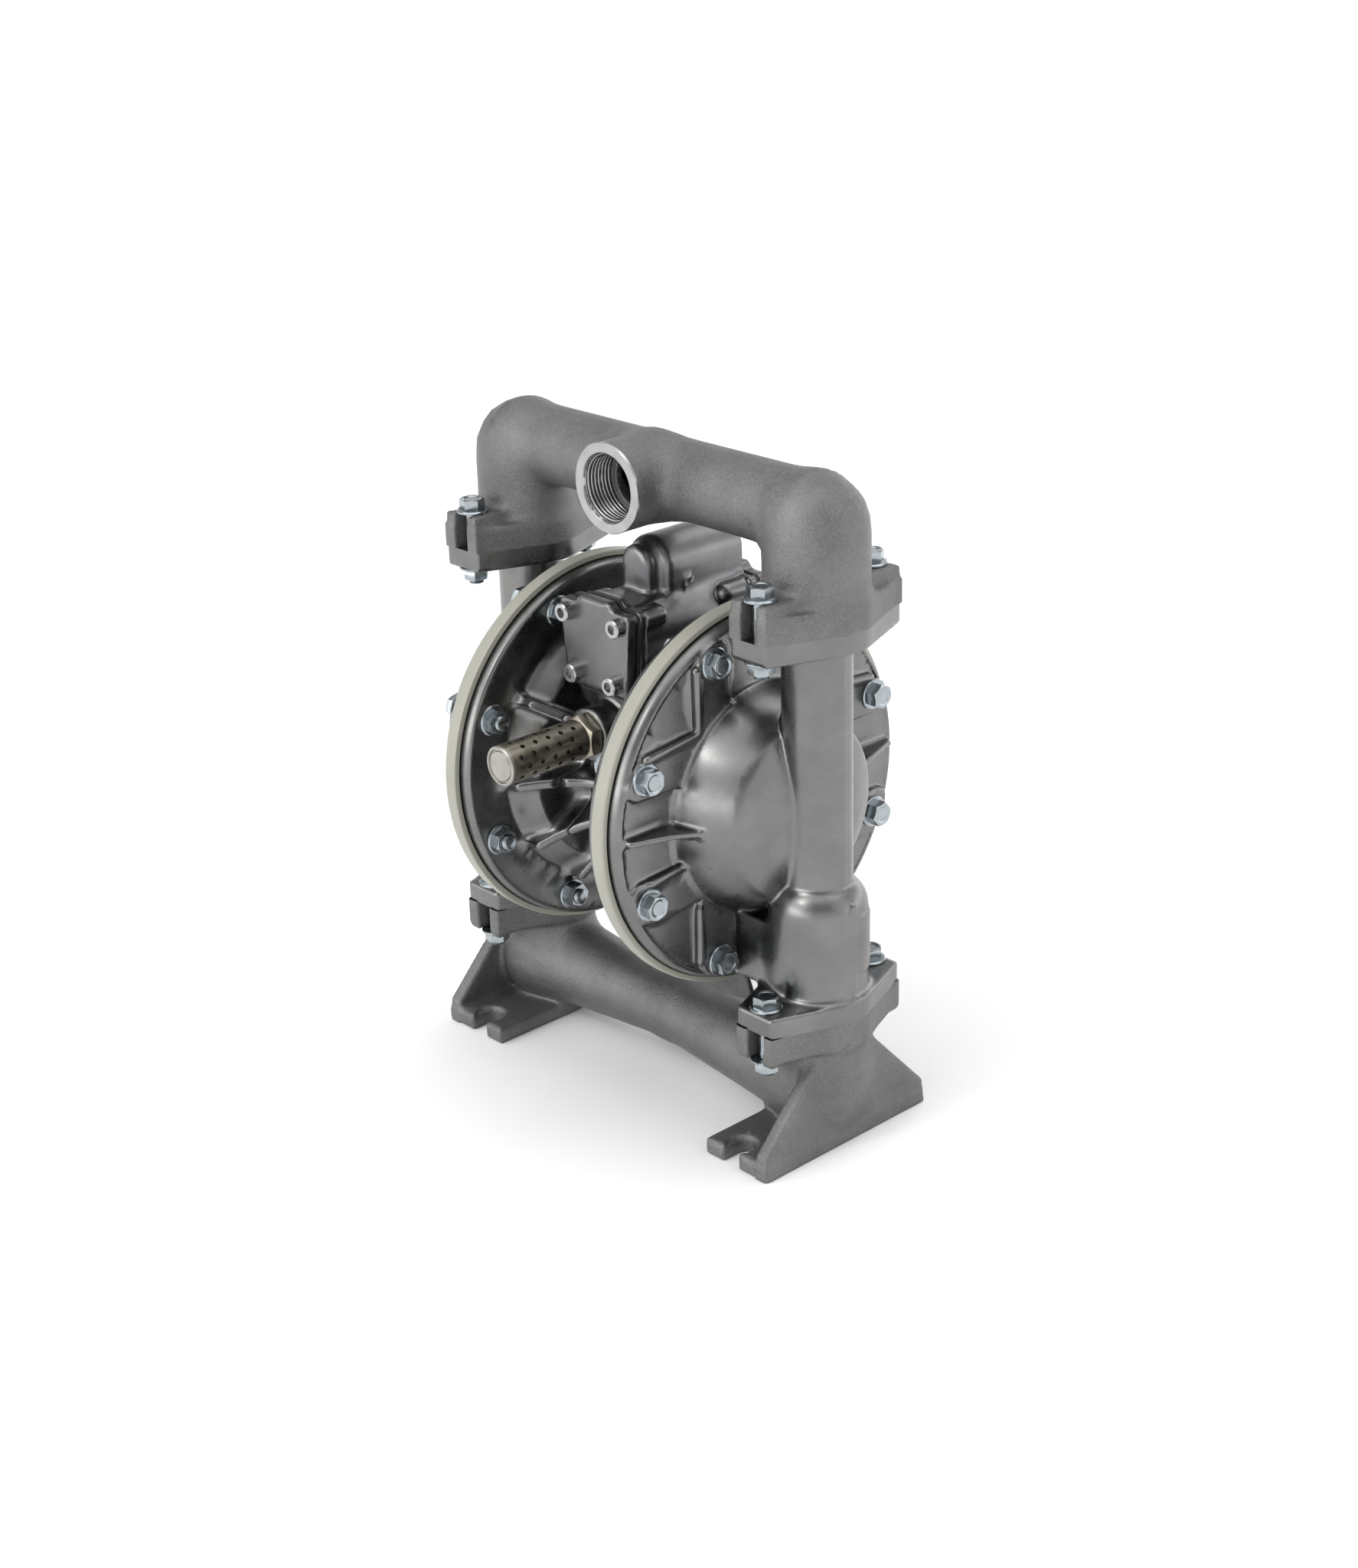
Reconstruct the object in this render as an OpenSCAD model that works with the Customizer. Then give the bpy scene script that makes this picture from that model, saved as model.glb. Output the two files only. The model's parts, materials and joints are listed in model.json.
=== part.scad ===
// Air-operated double-diaphragm pump with aluminium castings and 1 inch ports.
// X runs along the diaphragm rod, -Y is the side of the outlet and the muffler, and Z is up.
// The origin is on the floor, under the middle of the pump. All sizes are in millimetres.

/* [Overall] */
// Height from the floor to the top of the discharge tube
pump_h = 360; // [354:1:368]
// Distance of each valve column from the middle of the pump
column_x = 109.5; // [108:0.5:113]
// Height of the joint between the suction manifold and the liquid chambers
low_joint_z = 75.5; // [75:0.5:78]
// Distance between the two manifold joints, measured along a liquid chamber
chamber_h = 210.5; // [209:0.5:212]
// General wall of the castings
wall = 4.5; // [4:0.1:5]

/* [Manifolds] */
// Outer radius of the discharge tube
tube_r = 20.7; // [20:0.1:21.5]
// Bore radius of the discharge tube
tube_bore_r = 14; // [12:0.5:15]
// Outer radius of the legs that hold the ball cages
leg_r = 26.8; // [26.5:0.1:27.5]
// Outer radius of the suction arms where they meet in the middle
arm_mid_r = 17; // [16.5:0.5:18]
// Bore radius of the suction arms
arm_bore_r = 13; // [11:0.5:13.5]
// Height of the suction arms' axis above the floor
arm_z = 31; // [31:0.5:33]
// Minor radius of the 1 inch pipe thread in both ports
port_hole_r = 16.65; // [16:0.05:17]
// Radius of the machined face round each port
port_face_r = 24; // [23:0.5:25]
// Distance of each port's face from the middle of the pump
port_face_y = 38; // [37:0.5:40]
// Depth of the pipe thread
port_depth = 19; // [17:0.5:20]

/* [Flanges] */
// Height of the discharge manifold's lugs
discharge_lug_t = 19.5; // [18:0.5:20]
// Height of the suction manifold's lugs
suction_lug_t = 17.5; // [16.5:0.5:18]
// Thickness of the liquid chambers' lugs
chamber_lug_t = 10.8; // [10:0.1:11.5]
// Width of every lug
lug_w = 24.5; // [24:0.5:26]
// Distance from the column's axis to the end of a lug
lug_reach = 47; // [46:0.5:49]
// Distance from the column's axis to a flange bolt
flange_bolt_y = 38.5; // [38:0.5:39]
// Radius of the round flange under the lugs
round_flange_r = 28.5; // [28:0.1:29]

/* [Feet] */
// Distance from the middle to the outer face of a foot
foot_outer_x = 129.8; // [129:0.2:132]
// Distance from the middle to the inner edge of a foot
foot_inner_x = 84.6; // [83:0.2:87]
// Half length of a foot from front to back
foot_half_y = 60.2; // [58:0.2:62]
// Thickness of a foot's plate
foot_t = 9.6; // [9:0.1:10.5]
// Thickness of the upright web at the outer face of a foot
web_t = 8.5; // [7:0.5:9]
// Width of the open slot for the anchor bolt
foot_slot_w = 11; // [9:0.5:12]
// Distance from the middle to an anchor slot, along the rod
foot_slot_x = 103.5; // [102:0.5:105]
// Distance from the middle to the closed end's centre of an anchor slot
foot_slot_y = 49; // [47:0.5:50]

/* [Chambers] */
// Distance from the middle to the middle plane of a diaphragm's rim
diaphragm_x = 58.2; // [58:0.1:59]
// Outer radius of a diaphragm's rim
rim_r = 104; // [102.6:0.2:106]
// Width of the rim bead along the rod
rim_w = 8.6; // [8:0.1:9.5]
// Radial height of the rim bead outside the chamber flanges
rim_h = 3; // [2.6:0.1:4.4]
// Thickness of the diaphragm sheet
sheet_t = 4; // [3.5:0.1:4.4]
// Thickness of a liquid chamber's flange
liquid_flange_t = 10; // [9:0.2:10.6]
// Thickness of an air chamber's flange
air_flange_t = 9; // [8:0.2:9.4]
// Radius of the circle of chamber bolts
chamber_bolt_r = 88.5; // [88:0.2:89.4]
// Number of bolts round a chamber
chamber_bolts = 8; // [6:2:8]
// Radius of a liquid chamber's dome where it meets the flange
dome_r = 61.4; // [60:0.2:63]
// Radius of the crease where the dome's sloped side meets its crown
dome_edge_r = 48.6; // [47:0.2:50]
// Height of the crease above the flange
dome_edge_h = 29.6; // [28:0.2:31]
// Height of the crown above the crease
dome_crown = 12; // [10:0.5:13]
// Outer radius of the upright column on a liquid chamber
column_r = 18; // [17.5:0.1:18.5]
// Outer radius of the suction ball housing
housing_r = 25.6; // [25.4:0.1:26]
// Height of the suction ball housing above its joint
housing_h = 62; // [58:1:64]
// Radius of the flow passage in a column
passage_r = 12.5; // [11:0.5:13]

/* [Centre] */
// Radius of the rod
rod_r = 9; // [8.5:0.1:9.5]
// Travel of the rod to each side
rod_travel = 9; // [6:0.5:9]
// Radius of the inner disc behind a diaphragm
inner_disc_r = 60; // [56:0.5:62]
// Radius of the outer disc in front of a diaphragm
outer_disc_r = 44; // [40:0.5:46]
// Half width of the centre body along the rod
body_half_x = 24; // [23.5:0.1:25]
// Half length of the centre body from front to back
body_half_y = 50; // [48:0.5:52]
// Height of the centre body's top face above the rod
body_top = 51; // [50:0.5:52]
// Height of the muffler's axis above the rod
exhaust_up = 31; // [30:0.5:32]

/* [Air valve] */
// Half width of the valve body
valve_half_x = 26; // [25.5:0.5:27]
// Half length of the valve body between its end gaskets
valve_half_y = 41.5; // [41:0.5:43]
// Height of the valve body without its inlet dome
valve_h = 51.5; // [51:0.5:52.5]
// Height of the valve bore's axis above the valve body's base
valve_bore_up = 25; // [24:0.5:26]
// Thickness of a valve end cap
cap_t = 7; // [6:0.5:8]
// Thickness of every flat gasket
gasket_t = 1.5; // [1:0.1:1.6]
// Outer radius of the valve sleeve
sleeve_r = 15; // [14.5:0.1:15.5]
// Radius of the spool's lands
spool_r = 10; // [9.5:0.1:10.5]
// Travel of the spool to each side of the middle
spool_travel = 5; // [4:0.5:5]
// Radius of the inlet dome on the valve body
dome_box_r = 14; // [13:0.5:14.5]
// Height of the inlet dome's axis above the valve body's base
dome_box_up = 62; // [61:0.5:62.5]

/* [Check valves] */
// Radius of a check ball
ball_r = 15.5; // [15:0.1:15.8]
// Lift of a check ball from its seat
ball_lift = 8; // [6:0.5:8]
// Outer radius of a valve seat
seat_r = 22; // [21.8:0.05:22.1]
// Bore radius of a valve seat
seat_bore_r = 12.5; // [12:0.1:12.8]
// Thickness of a valve seat
seat_t = 8; // [7:0.5:8.5]

/* [Fasteners] */
// Shank radius of the flange and chamber bolts
bolt_r = 4; // [3.5:0.1:4]
// Width across flats of their heads and nuts
bolt_af = 12; // [11.5:0.1:12.5]
// Radius of the washer face under each head and nut
bolt_flange_r = 8.6; // [8:0.1:9]
// Height of a bolt's head
bolt_head_t = 7.5; // [7:0.1:8]
// Height of a nut
nut_t = 7; // [6.5:0.1:7.5]
// Length of thread that stands out of a nut
tip_out = 2.5; // [2:0.1:3]
// Clearance round a bolt in its hole
bolt_gap = 0.5; // [0.4:0.05:0.7]
// Shank radius of the valve cap screws
cap_screw_r = 3; // [2.5:0.1:3]
// Radius of the socket heads
socket_head_r = 5; // [4.6:0.1:5.2]
// Height of the socket heads
socket_head_t = 5.5; // [5:0.1:6]

/* [Muffler] */
// Outer radius of the muffler's tube
muffler_r = 10.5; // [10:0.1:11]
// Distance of the muffler's free end from the middle of the pump
muffler_end_y = 116; // [112:0.5:118]
// Width across flats of the muffler's hexagon
muffler_af = 22; // [21.5:0.1:23]
// Thread radius of the muffler's nipple
nipple_r = 8.3; // [8:0.1:8.4]

/* [Hidden] */

$fn = 96;

// Heights that follow from the joints
high_joint_z = low_joint_z + chamber_h;
rod_z = low_joint_z + chamber_h / 2;
tube_z = pump_h - tube_r;
elbow_z = pump_h - leg_r;

// Places along the rod, given for the right side
sheet_in_x = diaphragm_x - sheet_t / 2;
sheet_out_x = diaphragm_x + sheet_t / 2;
liquid_back_x = sheet_out_x + liquid_flange_t;
bolt_pad_t = 1;
air_back_x = sheet_in_x - air_flange_t;
flange_r = rim_r - rim_h;
sheet_inner_r = chamber_bolt_r - bolt_r - 7;

// Discs and the air chamber's back wall
disc_t = 8;
outer_disc_t = 7;
disc_hub_r = 16;
air_inside_x = sheet_in_x - disc_t - rod_travel - 1;
air_wall_t = 5.5;
air_outside_x = air_inside_x - air_wall_t;
hub_r = 36;
rod_half = sheet_in_x - disc_t;
disc_bolt_r = 6;
disc_bolt_depth = 22;
disc_bolt_head_t = 6;
disc_bolt_af = 16;

// Fits
running_gap = 0.05;
seat_gap = 0.1;
face_gap = 0.3;

// The straight rim of a port, before it narrows to the tube
port_rim_t = 7;

// Joint flanges
tangent_dip = 0.15;
lug_step_t = 6;

// Flange bolts
hole_r = bolt_r + bolt_gap;
slot_w = 2 * hole_r;
high_nut_z = high_joint_z - chamber_lug_t;
high_head_z = high_joint_z + discharge_lug_t;
low_nut_z = low_joint_z - suction_lug_t;
low_head_z = low_joint_z + chamber_lug_t;

// Half width of the block that carries a suction arm on its foot
pedestal_half_y = 15;

// Check valves: the seat is clamped half in each side of the joint
seat_half = seat_t / 2;
cage_r = seat_r + seat_gap;
seat_chamfer = 1;
ball_rest = sqrt(ball_r * ball_r - seat_bore_r * seat_bore_r) - seat_chamfer + running_gap;
cage_rib = cage_r - ball_r - 0.6;
cage_ring_t = 3;
cage_top = ball_rest + ball_r + ball_lift + 0.4;
cage_bar_t = 3.5;
cage_h = cage_top + cage_bar_t;
cage_bore_h = seat_half + cage_h + face_gap;
o_ring_r = 1.1;
o_ring_mid_r = seat_r + 2.2;

// Centre block and valve
body_top_z = rod_z + body_top;
valve_z = body_top_z + gasket_t;
bore_z = valve_z + valve_bore_up;
exhaust_z = rod_z + exhaust_up;
boss_face_y = body_half_y + 7;
duct_r = 5;
nipple_l = 10;
hex_t = 8;
muffler_tube_y = boss_face_y + hex_t;
muffler_wall = 1.2;
muffler_lip_t = 2;
cap_face_y = valve_half_y + gasket_t + cap_t;
cap_top_x = 19.5;
cap_low_x = 15;
cap_top_z = 40;
cap_low_z = 8;
cap_screw_l = 22;
dome_front_y = -10;
nose_front_y = -21;
nose_half_x = 9;
air_port_r = 8.3;
air_port_depth = 14;
bush_r = rod_r + 3;
bush_l = 9;
seal_l = 4;
pilot_r = 3;
pilot_y = 27;
pilot_head_r = 5;
pilot_head_t = 2.5;
pilot_bush_r = 6;
pilot_travel = 3;
pilot_l = 34;
pilot_bush_x = body_half_x - 6;
pilot_tip_x = air_inside_x + 1.3;
hub_screw_r = 3;
hub_head_r = 4.5;
hub_head_t = 4;
hub_seat_x = air_inside_x - hub_head_t - 1;
hub_screw_circle = 29;
hub_screw_l = 18;
base_screw_x = 19;
base_screw_y = 14;
base_screw_reach = 6;
block_half_x = 10;
boss_r = 14;
body_shelf_t = 10;
shelf_half_y = valve_half_y - 3;
casting = "#8d8c8a";
die_casting = "#9a9c9d";
machined = "#c9cac8";
zinc = "#b9c0c2";
ivory = "#dad8c8";
black_rubber = "#1d1d1f";
nickel = "#9b9780";
steel = "#a7a9ab";
bronze = "#a88a55";
ptfe = "#efeee8";

// Cylinders along the three axes, from one end to the other
module xcyl(r, x0, x1) {
  translate([x0, 0, 0]) rotate([0, 90, 0]) cylinder(r = r, h = x1 - x0);
}

module ycyl(r, y0, y1) {
  translate([0, y1, 0]) rotate([90, 0, 0]) cylinder(r = r, h = y1 - y0);
}

module zcyl(r, z0, z1) {
  translate([0, 0, z0]) cylinder(r = r, h = z1 - z0);
}

// A profile of [radius, x] points turned about the X axis
module turned_x(points) {
  rotate([0, 90, 0]) rotate_extrude() polygon(points);
}

// A hexagonal prism along Z with its base at z0
module hex(af, z0, z1) {
  translate([0, 0, z0]) cylinder(r = af / sqrt(3), h = z1 - z0, $fn = 6);
}

// Puts right-hand pieces on the right (side = 1) or on the left (side = -1)
module on_side(side) {
  mirror([side < 0 ? 1 : 0, 0, 0]) children();
}

module both_sides() {
  for (side = [-1, 1]) {
    on_side(side) children();
  }
}

module front_and_back() {
  for (turn = [0, 1]) {
    mirror([0, turn, 0]) children();
  }
}

// A flanged hexagon bolt: its head stands on z = 0 and its shank hangs down
module flange_bolt(length) {
  union() {
    zcyl(bolt_flange_r, 0, 1.6);
    hex(bolt_af, 1.5, bolt_head_t);
    zcyl(bolt_r, -length, 0.1);
  }
}

// A flanged nut under z = 0, bored for the bolt
module flange_nut() {
  difference() {
    union() {
      zcyl(bolt_flange_r, -1.6, 0);
      hex(bolt_af, -nut_t, -1.5);
    }
    zcyl(bolt_r, -nut_t - 1, 1);
  }
}

// A socket head screw along -Z, its head standing on z = 0
module socket_screw(r, length, head_r, head_t) {
  difference() {
    union() {
      zcyl(head_r, 0, head_t);
      zcyl(r, -length, 0.1);
    }
    hex(head_r * 1.05, head_t * 0.45, head_t + 1);
  }
}

// The outline that manifolds and chambers share at a joint: a round flange drawn out to two lugs.
// The straight sides run just inside the round's tangents, so that they cross it cleanly.
module joint_outline() {
  corner_angle = atan2(lug_reach, lug_w / 2);
  touch_angle = corner_angle - acos(round_flange_r / norm([lug_w / 2, lug_reach]));
  touch = (round_flange_r - tangent_dip) * [cos(touch_angle), sin(touch_angle)];
  circle(r = round_flange_r);
  polygon([
    [lug_w / 2, -lug_reach], [touch[0], -touch[1]], [touch[0], touch[1]], [lug_w / 2, lug_reach],
    [-lug_w / 2, lug_reach], [-touch[0], touch[1]], [-touch[0], -touch[1]], [-lug_w / 2, -lug_reach]
  ]);
}

module joint_flange(z0, z1) {
  translate([0, 0, z0]) linear_extrude(z1 - z0) joint_outline();
}

// The lugs of a manifold stand out beyond its round flange
module lug_bar(z0, z1) {
  translate([-lug_w / 2, -lug_reach, z0]) cube([lug_w, 2 * lug_reach, z1 - z0]);
}

// The bolt places of a joint, as open slots in a manifold
module lug_slots(z0, z1) {
  front_and_back() {
    translate([-slot_w / 2, flange_bolt_y, z0]) cube([slot_w, lug_reach, z1 - z0]);
    translate([0, flange_bolt_y, 0]) zcyl(hole_r, z0, z1);
  }
}

module lug_holes(z0, z1) {
  front_and_back() {
    translate([0, flange_bolt_y, 0]) zcyl(hole_r, z0, z1);
  }
}

// Round recesses for a seat and the groove for its O-ring, about a joint at z = 0
module seat_recess(up) {
  mirror([0, 0, up > 0 ? 0 : 1]) {
    zcyl(cage_r, -0.01, seat_half);
  }
}

module o_ring_groove() {
  groove_half = o_ring_r + 0.1;
  rotate_extrude() translate([o_ring_mid_r - groove_half, -2 * o_ring_r]) {
    square([2 * groove_half, 2 * o_ring_r + 1]);
  }
}

// Discharge manifold: one tube over two legs, with the outlet boss in the middle
module discharge_manifold() {
  color(casting) difference() {
    union() {
      translate([0, 0, tube_z]) xcyl(tube_r, -column_x, column_x);
      both_sides() translate([column_x, 0, 0]) {
        zcyl(leg_r, high_joint_z, elbow_z);
        translate([0, 0, elbow_z]) sphere(r = leg_r);
        joint_flange(high_joint_z, high_head_z - lug_step_t);
        lug_bar(high_joint_z, high_head_z);
      }
      translate([0, 0, tube_z]) {
        ycyl(port_face_r, -port_face_y, -port_face_y + port_rim_t);
        translate([0, -port_face_y + port_rim_t, 0]) rotate([-90, 0, 0]) {
          cylinder(r1 = port_face_r, r2 = tube_r, h = 14);
        }
      }
    }
    translate([0, 0, tube_z]) {
      xcyl(tube_bore_r, -column_x, column_x);
      ycyl(port_hole_r, -port_face_y - 1, -port_face_y + port_depth);
      ycyl(tube_bore_r, -port_face_y + 1, 0);
    }
    both_sides() translate([column_x, 0, 0]) {
      zcyl(cage_r, high_joint_z - 1, high_joint_z + cage_bore_h);
      zcyl(tube_bore_r, high_joint_z, tube_z);
      translate([0, 0, tube_z]) sphere(r = tube_bore_r);
      lug_slots(high_joint_z - 1, high_head_z + 1);
    }
  }
}

// One upright web at the end of the suction manifold, drawn in the Y-Z plane
module foot_web() {
  web_top = low_joint_z - suction_lug_t;
  translate([foot_outer_x - web_t, 0, 0]) rotate([90, 0, 90]) linear_extrude(web_t) polygon([
    [-foot_half_y, 0], [foot_half_y, 0], [foot_half_y - 2, foot_t + 5],
    [lug_w / 2 + 3, web_top + 1], [-lug_w / 2 - 3, web_top + 1], [-foot_half_y + 2, foot_t + 5]
  ]);
}

module foot() {
  translate([foot_inner_x, -foot_half_y, 0]) cube([foot_outer_x - foot_inner_x, 2 * foot_half_y, foot_t]);
  foot_web();
  translate([foot_inner_x + 4, -pedestal_half_y, 0]) {
    cube([foot_outer_x - foot_inner_x - 6, 2 * pedestal_half_y, arm_z]);
  }
}

// Suction manifold: two arms that widen outwards, the feet, and the inlet at the back
module suction_manifold() {
  arm_end_r = leg_r;
  color(casting) difference() {
    union() {
      both_sides() {
        translate([0, 0, arm_z]) rotate([0, 90, 0]) cylinder(r1 = arm_mid_r, r2 = arm_end_r, h = column_x);
        translate([column_x, 0, arm_z]) sphere(r = arm_end_r);
        translate([column_x, 0, 0]) {
          zcyl(leg_r, arm_z, low_joint_z);
          joint_flange(low_nut_z + lug_step_t / 2, low_joint_z);
          lug_bar(low_nut_z, low_joint_z);
        }
        foot();
      }
      translate([0, 0, arm_z]) {
        ycyl(port_face_r, port_face_y - port_rim_t, port_face_y);
        translate([0, port_face_y - port_rim_t, 0]) rotate([90, 0, 0]) {
          cylinder(r1 = port_face_r, r2 = arm_mid_r + 3, h = 20);
        }
      }
    }
    translate([0, 0, arm_z]) {
      xcyl(arm_bore_r, -column_x, column_x);
      ycyl(port_hole_r, port_face_y - port_depth, port_face_y + 1);
      ycyl(arm_bore_r, 0, port_face_y - 1);
    }
    both_sides() {
      translate([foot_outer_x, -leg_r - 1, -1]) cube([leg_r, 2 * leg_r + 2, low_nut_z + 1]);
      translate([column_x, 0, 0]) {
        translate([0, 0, low_joint_z]) seat_recess(-1);
        zcyl(leg_r - 2 * wall, arm_z, low_joint_z);
        translate([0, 0, arm_z]) sphere(r = arm_bore_r);
        lug_slots(low_nut_z - 1, low_joint_z + 1);
      }
      front_and_back() {
        translate([foot_slot_x, foot_slot_y, 0]) zcyl(foot_slot_w / 2, -1, foot_t + 1);
        translate([foot_slot_x - foot_slot_w / 2, foot_slot_y, -1]) {
          cube([foot_slot_w, foot_half_y, foot_t + 2]);
        }
      }
    }
  }
}

// The bolt places round a chamber, about the rod's axis
module chamber_bolt_places() {
  for (i = [0 : chamber_bolts - 1]) {
    rotate([(i + 0.5) * 360 / chamber_bolts, 0, 0]) translate([0, chamber_bolt_r, 0]) children();
  }
}

// A round dome: its sloped side rises to a crease, then comes the crown. The inset makes the hollow in it
module dome(inset, from_x) {
  foot = dome_r - inset;
  edge = dome_edge_r - inset;
  edge_x = liquid_back_x + dome_edge_h - inset / 2;
  crown_h = dome_crown - inset / 2;
  steps = 6;
  crown = [for (i = [0 : steps]) [edge * (1 - i / steps), edge_x + crown_h * (1 - pow(1 - i / steps, 3))]];
  translate([0, 0, rod_z]) turned_x(concat([[0, from_x], [foot, from_x], [foot, liquid_back_x]], crown));
}

// A raised rib on the face of the liquid chamber, from the dome out to the rim
module face_rib(angle) {
  translate([0, 0, rod_z]) rotate([angle, 0, 0]) translate([liquid_back_x - 1, dome_r - 16, -2]) {
    rotate([90, 0, 0]) mirror([0, 0, 1]) linear_extrude(flange_r - dome_r + 8) {
      polygon([[0, 0], [6, 1.4], [6, 2.6], [0, 4]]);
    }
  }
}

// Liquid chamber: flange, dome, upright column, ball housing and two joint flanges
module liquid_chamber() {
  housing_top = low_joint_z + housing_h;
  shoulder_z = housing_top - housing_r * 0.75;
  bridge = column_x - liquid_back_x + 1;
  color(die_casting) difference() {
    union() {
      translate([0, 0, rod_z]) {
        xcyl(flange_r, sheet_out_x, liquid_back_x);
        chamber_bolt_places() xcyl(bolt_flange_r + 3.5, liquid_back_x - 1, liquid_back_x + bolt_pad_t);
      }
      for (angle = [75, 105, 165, 180, 255, 285, 0, 15]) {
        face_rib(angle);
      }
      dome(0, liquid_back_x - 1);
      translate([column_x, 0, 0]) {
        zcyl(column_r, low_joint_z, high_joint_z);
        zcyl(housing_r, low_joint_z, shoulder_z);
        translate([0, 0, shoulder_z]) sphere(r = housing_r);
        joint_flange(low_joint_z, low_head_z);
        joint_flange(high_nut_z, high_joint_z);
      }
      translate([liquid_back_x - 1, -housing_r + 5, low_head_z]) {
        cube([bridge, 2 * housing_r - 10, shoulder_z - low_head_z]);
      }
    }
    dome(wall, sheet_out_x - 1);
    translate([0, 0, rod_z]) {
      turned_x([
        [0, sheet_out_x - 1], [sheet_inner_r, sheet_out_x - 1], [sheet_inner_r, sheet_out_x],
        [outer_disc_r + 12, liquid_back_x - 3], [0, liquid_back_x - 3]
      ]);
      chamber_bolt_places() xcyl(hole_r, sheet_out_x - 1, liquid_back_x + bolt_pad_t + 20);
    }
    translate([column_x, 0, 0]) {
      zcyl(passage_r, low_joint_z - 1, high_joint_z + 1);
      zcyl(cage_r, low_joint_z - 1, low_joint_z + cage_bore_h);
      translate([0, 0, high_joint_z]) seat_recess(-1);
      translate([0, 0, low_joint_z]) mirror([0, 0, 1]) o_ring_groove();
      translate([0, 0, high_joint_z]) o_ring_groove();
      lug_holes(low_joint_z - 1, low_head_z + 1);
      lug_holes(high_nut_z - 1, high_joint_z + 1);
    }
    translate([liquid_back_x - 2, -passage_r + 1.5, rod_z - dome_r / 2]) {
      cube([bridge + 1, 2 * passage_r - 3, dome_r]);
    }
  }
}

// Air chamber: flange, sunk back wall, hub and curved ribs
module air_chamber() {
  color(die_casting) difference() {
    union() {
      translate([0, 0, rod_z]) {
        turned_x([
          [0, body_half_x], [hub_r, body_half_x],
          [hub_r + 6, air_outside_x], [sheet_inner_r - 6, air_outside_x],
          [sheet_inner_r - 2, air_back_x], [flange_r, air_back_x], [flange_r, sheet_in_x], [0, sheet_in_x]
        ]);
        for (i = [0 : 7]) {
          rotate([i * 45 + 6, 0, 0]) translate([air_outside_x - 5, hub_r - 2, -2]) {
            cube([6, sheet_inner_r - hub_r - 2, 4]);
          }
        }
      }
    }
    translate([0, 0, rod_z]) {
      turned_x([
        [0, air_inside_x], [inner_disc_r + 5, air_inside_x], [sheet_inner_r - 2, sheet_in_x - 4],
        [sheet_inner_r, sheet_in_x], [sheet_inner_r, sheet_in_x + 1], [0, sheet_in_x + 1]
      ]);
      xcyl(bush_r + 3, body_half_x - 1, air_inside_x + 1);
      translate([0, pilot_y, 0]) xcyl(pilot_bush_r, body_half_x - 1, air_inside_x + 1);
      hub_screw_places() xcyl(hub_screw_r + 0.3, body_half_x - 1, air_inside_x + 1);
      hub_screw_places() xcyl(hub_head_r + 0.3, hub_seat_x, air_inside_x + 1);
      chamber_bolt_places() xcyl(hole_r, air_back_x - 1, sheet_in_x + 1);
    }
  }
}

module hub_screw_places() {
  for (i = [0 : 3]) {
    rotate([45 + i * 90, 0, 0]) translate([0, hub_screw_circle, 0]) children();
  }
}

// Screws that hold both air chambers to the centre body
module air_chamber_screws() {
  color(steel) both_sides() translate([0, 0, rod_z]) hub_screw_places() {
    translate([hub_seat_x, 0, 0]) rotate([0, 90, 0]) {
      socket_screw(hub_screw_r, hub_screw_l, hub_head_r, hub_head_t);
    }
  }
}

// Centre body: carries the rod, the pilot valves, the exhaust boss and the air valve
module centre_body() {
  block_y = hub_r - 2;
  color(die_casting) difference() {
    union() {
      translate([0, 0, rod_z]) {
        xcyl(hub_r, -body_half_x, body_half_x);
        translate([-block_half_x, -block_y, 0]) cube([2 * block_half_x, 2 * block_y, body_top - 1]);
      }
      translate([-body_half_x, -shelf_half_y, body_top_z - body_shelf_t]) {
        cube([2 * body_half_x, 2 * shelf_half_y, body_shelf_t]);
      }
      translate([0, 0, exhaust_z]) ycyl(boss_r, -boss_face_y, 0);
    }
    translate([0, 0, rod_z]) {
      xcyl(rod_r + 1, -body_half_x - 1, body_half_x + 1);
      both_sides() xcyl(bush_r, body_half_x - bush_l - seal_l, body_half_x + 1);
      both_sides() hub_screw_places() xcyl(hub_screw_r, hub_seat_x - hub_screw_l - 1, body_half_x + 1);
      translate([0, pilot_y, 0]) {
        xcyl(pilot_head_r + 0.3, -body_half_x - 1, body_half_x + 1);
        both_sides() xcyl(pilot_bush_r, pilot_bush_x, body_half_x + 1);
      }
    }
    translate([0, 0, exhaust_z]) {
      ycyl(nipple_r, -boss_face_y - 1, -boss_face_y + nipple_l + 3);
      ycyl(duct_r + 1, -boss_face_y + nipple_l, 0);
      zcyl(duct_r, 0, body_top);
    }
    base_screw_places() zcyl(cap_screw_r + 0.3, body_top_z - body_shelf_t - 1, body_top_z + 1);
  }
}

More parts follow.
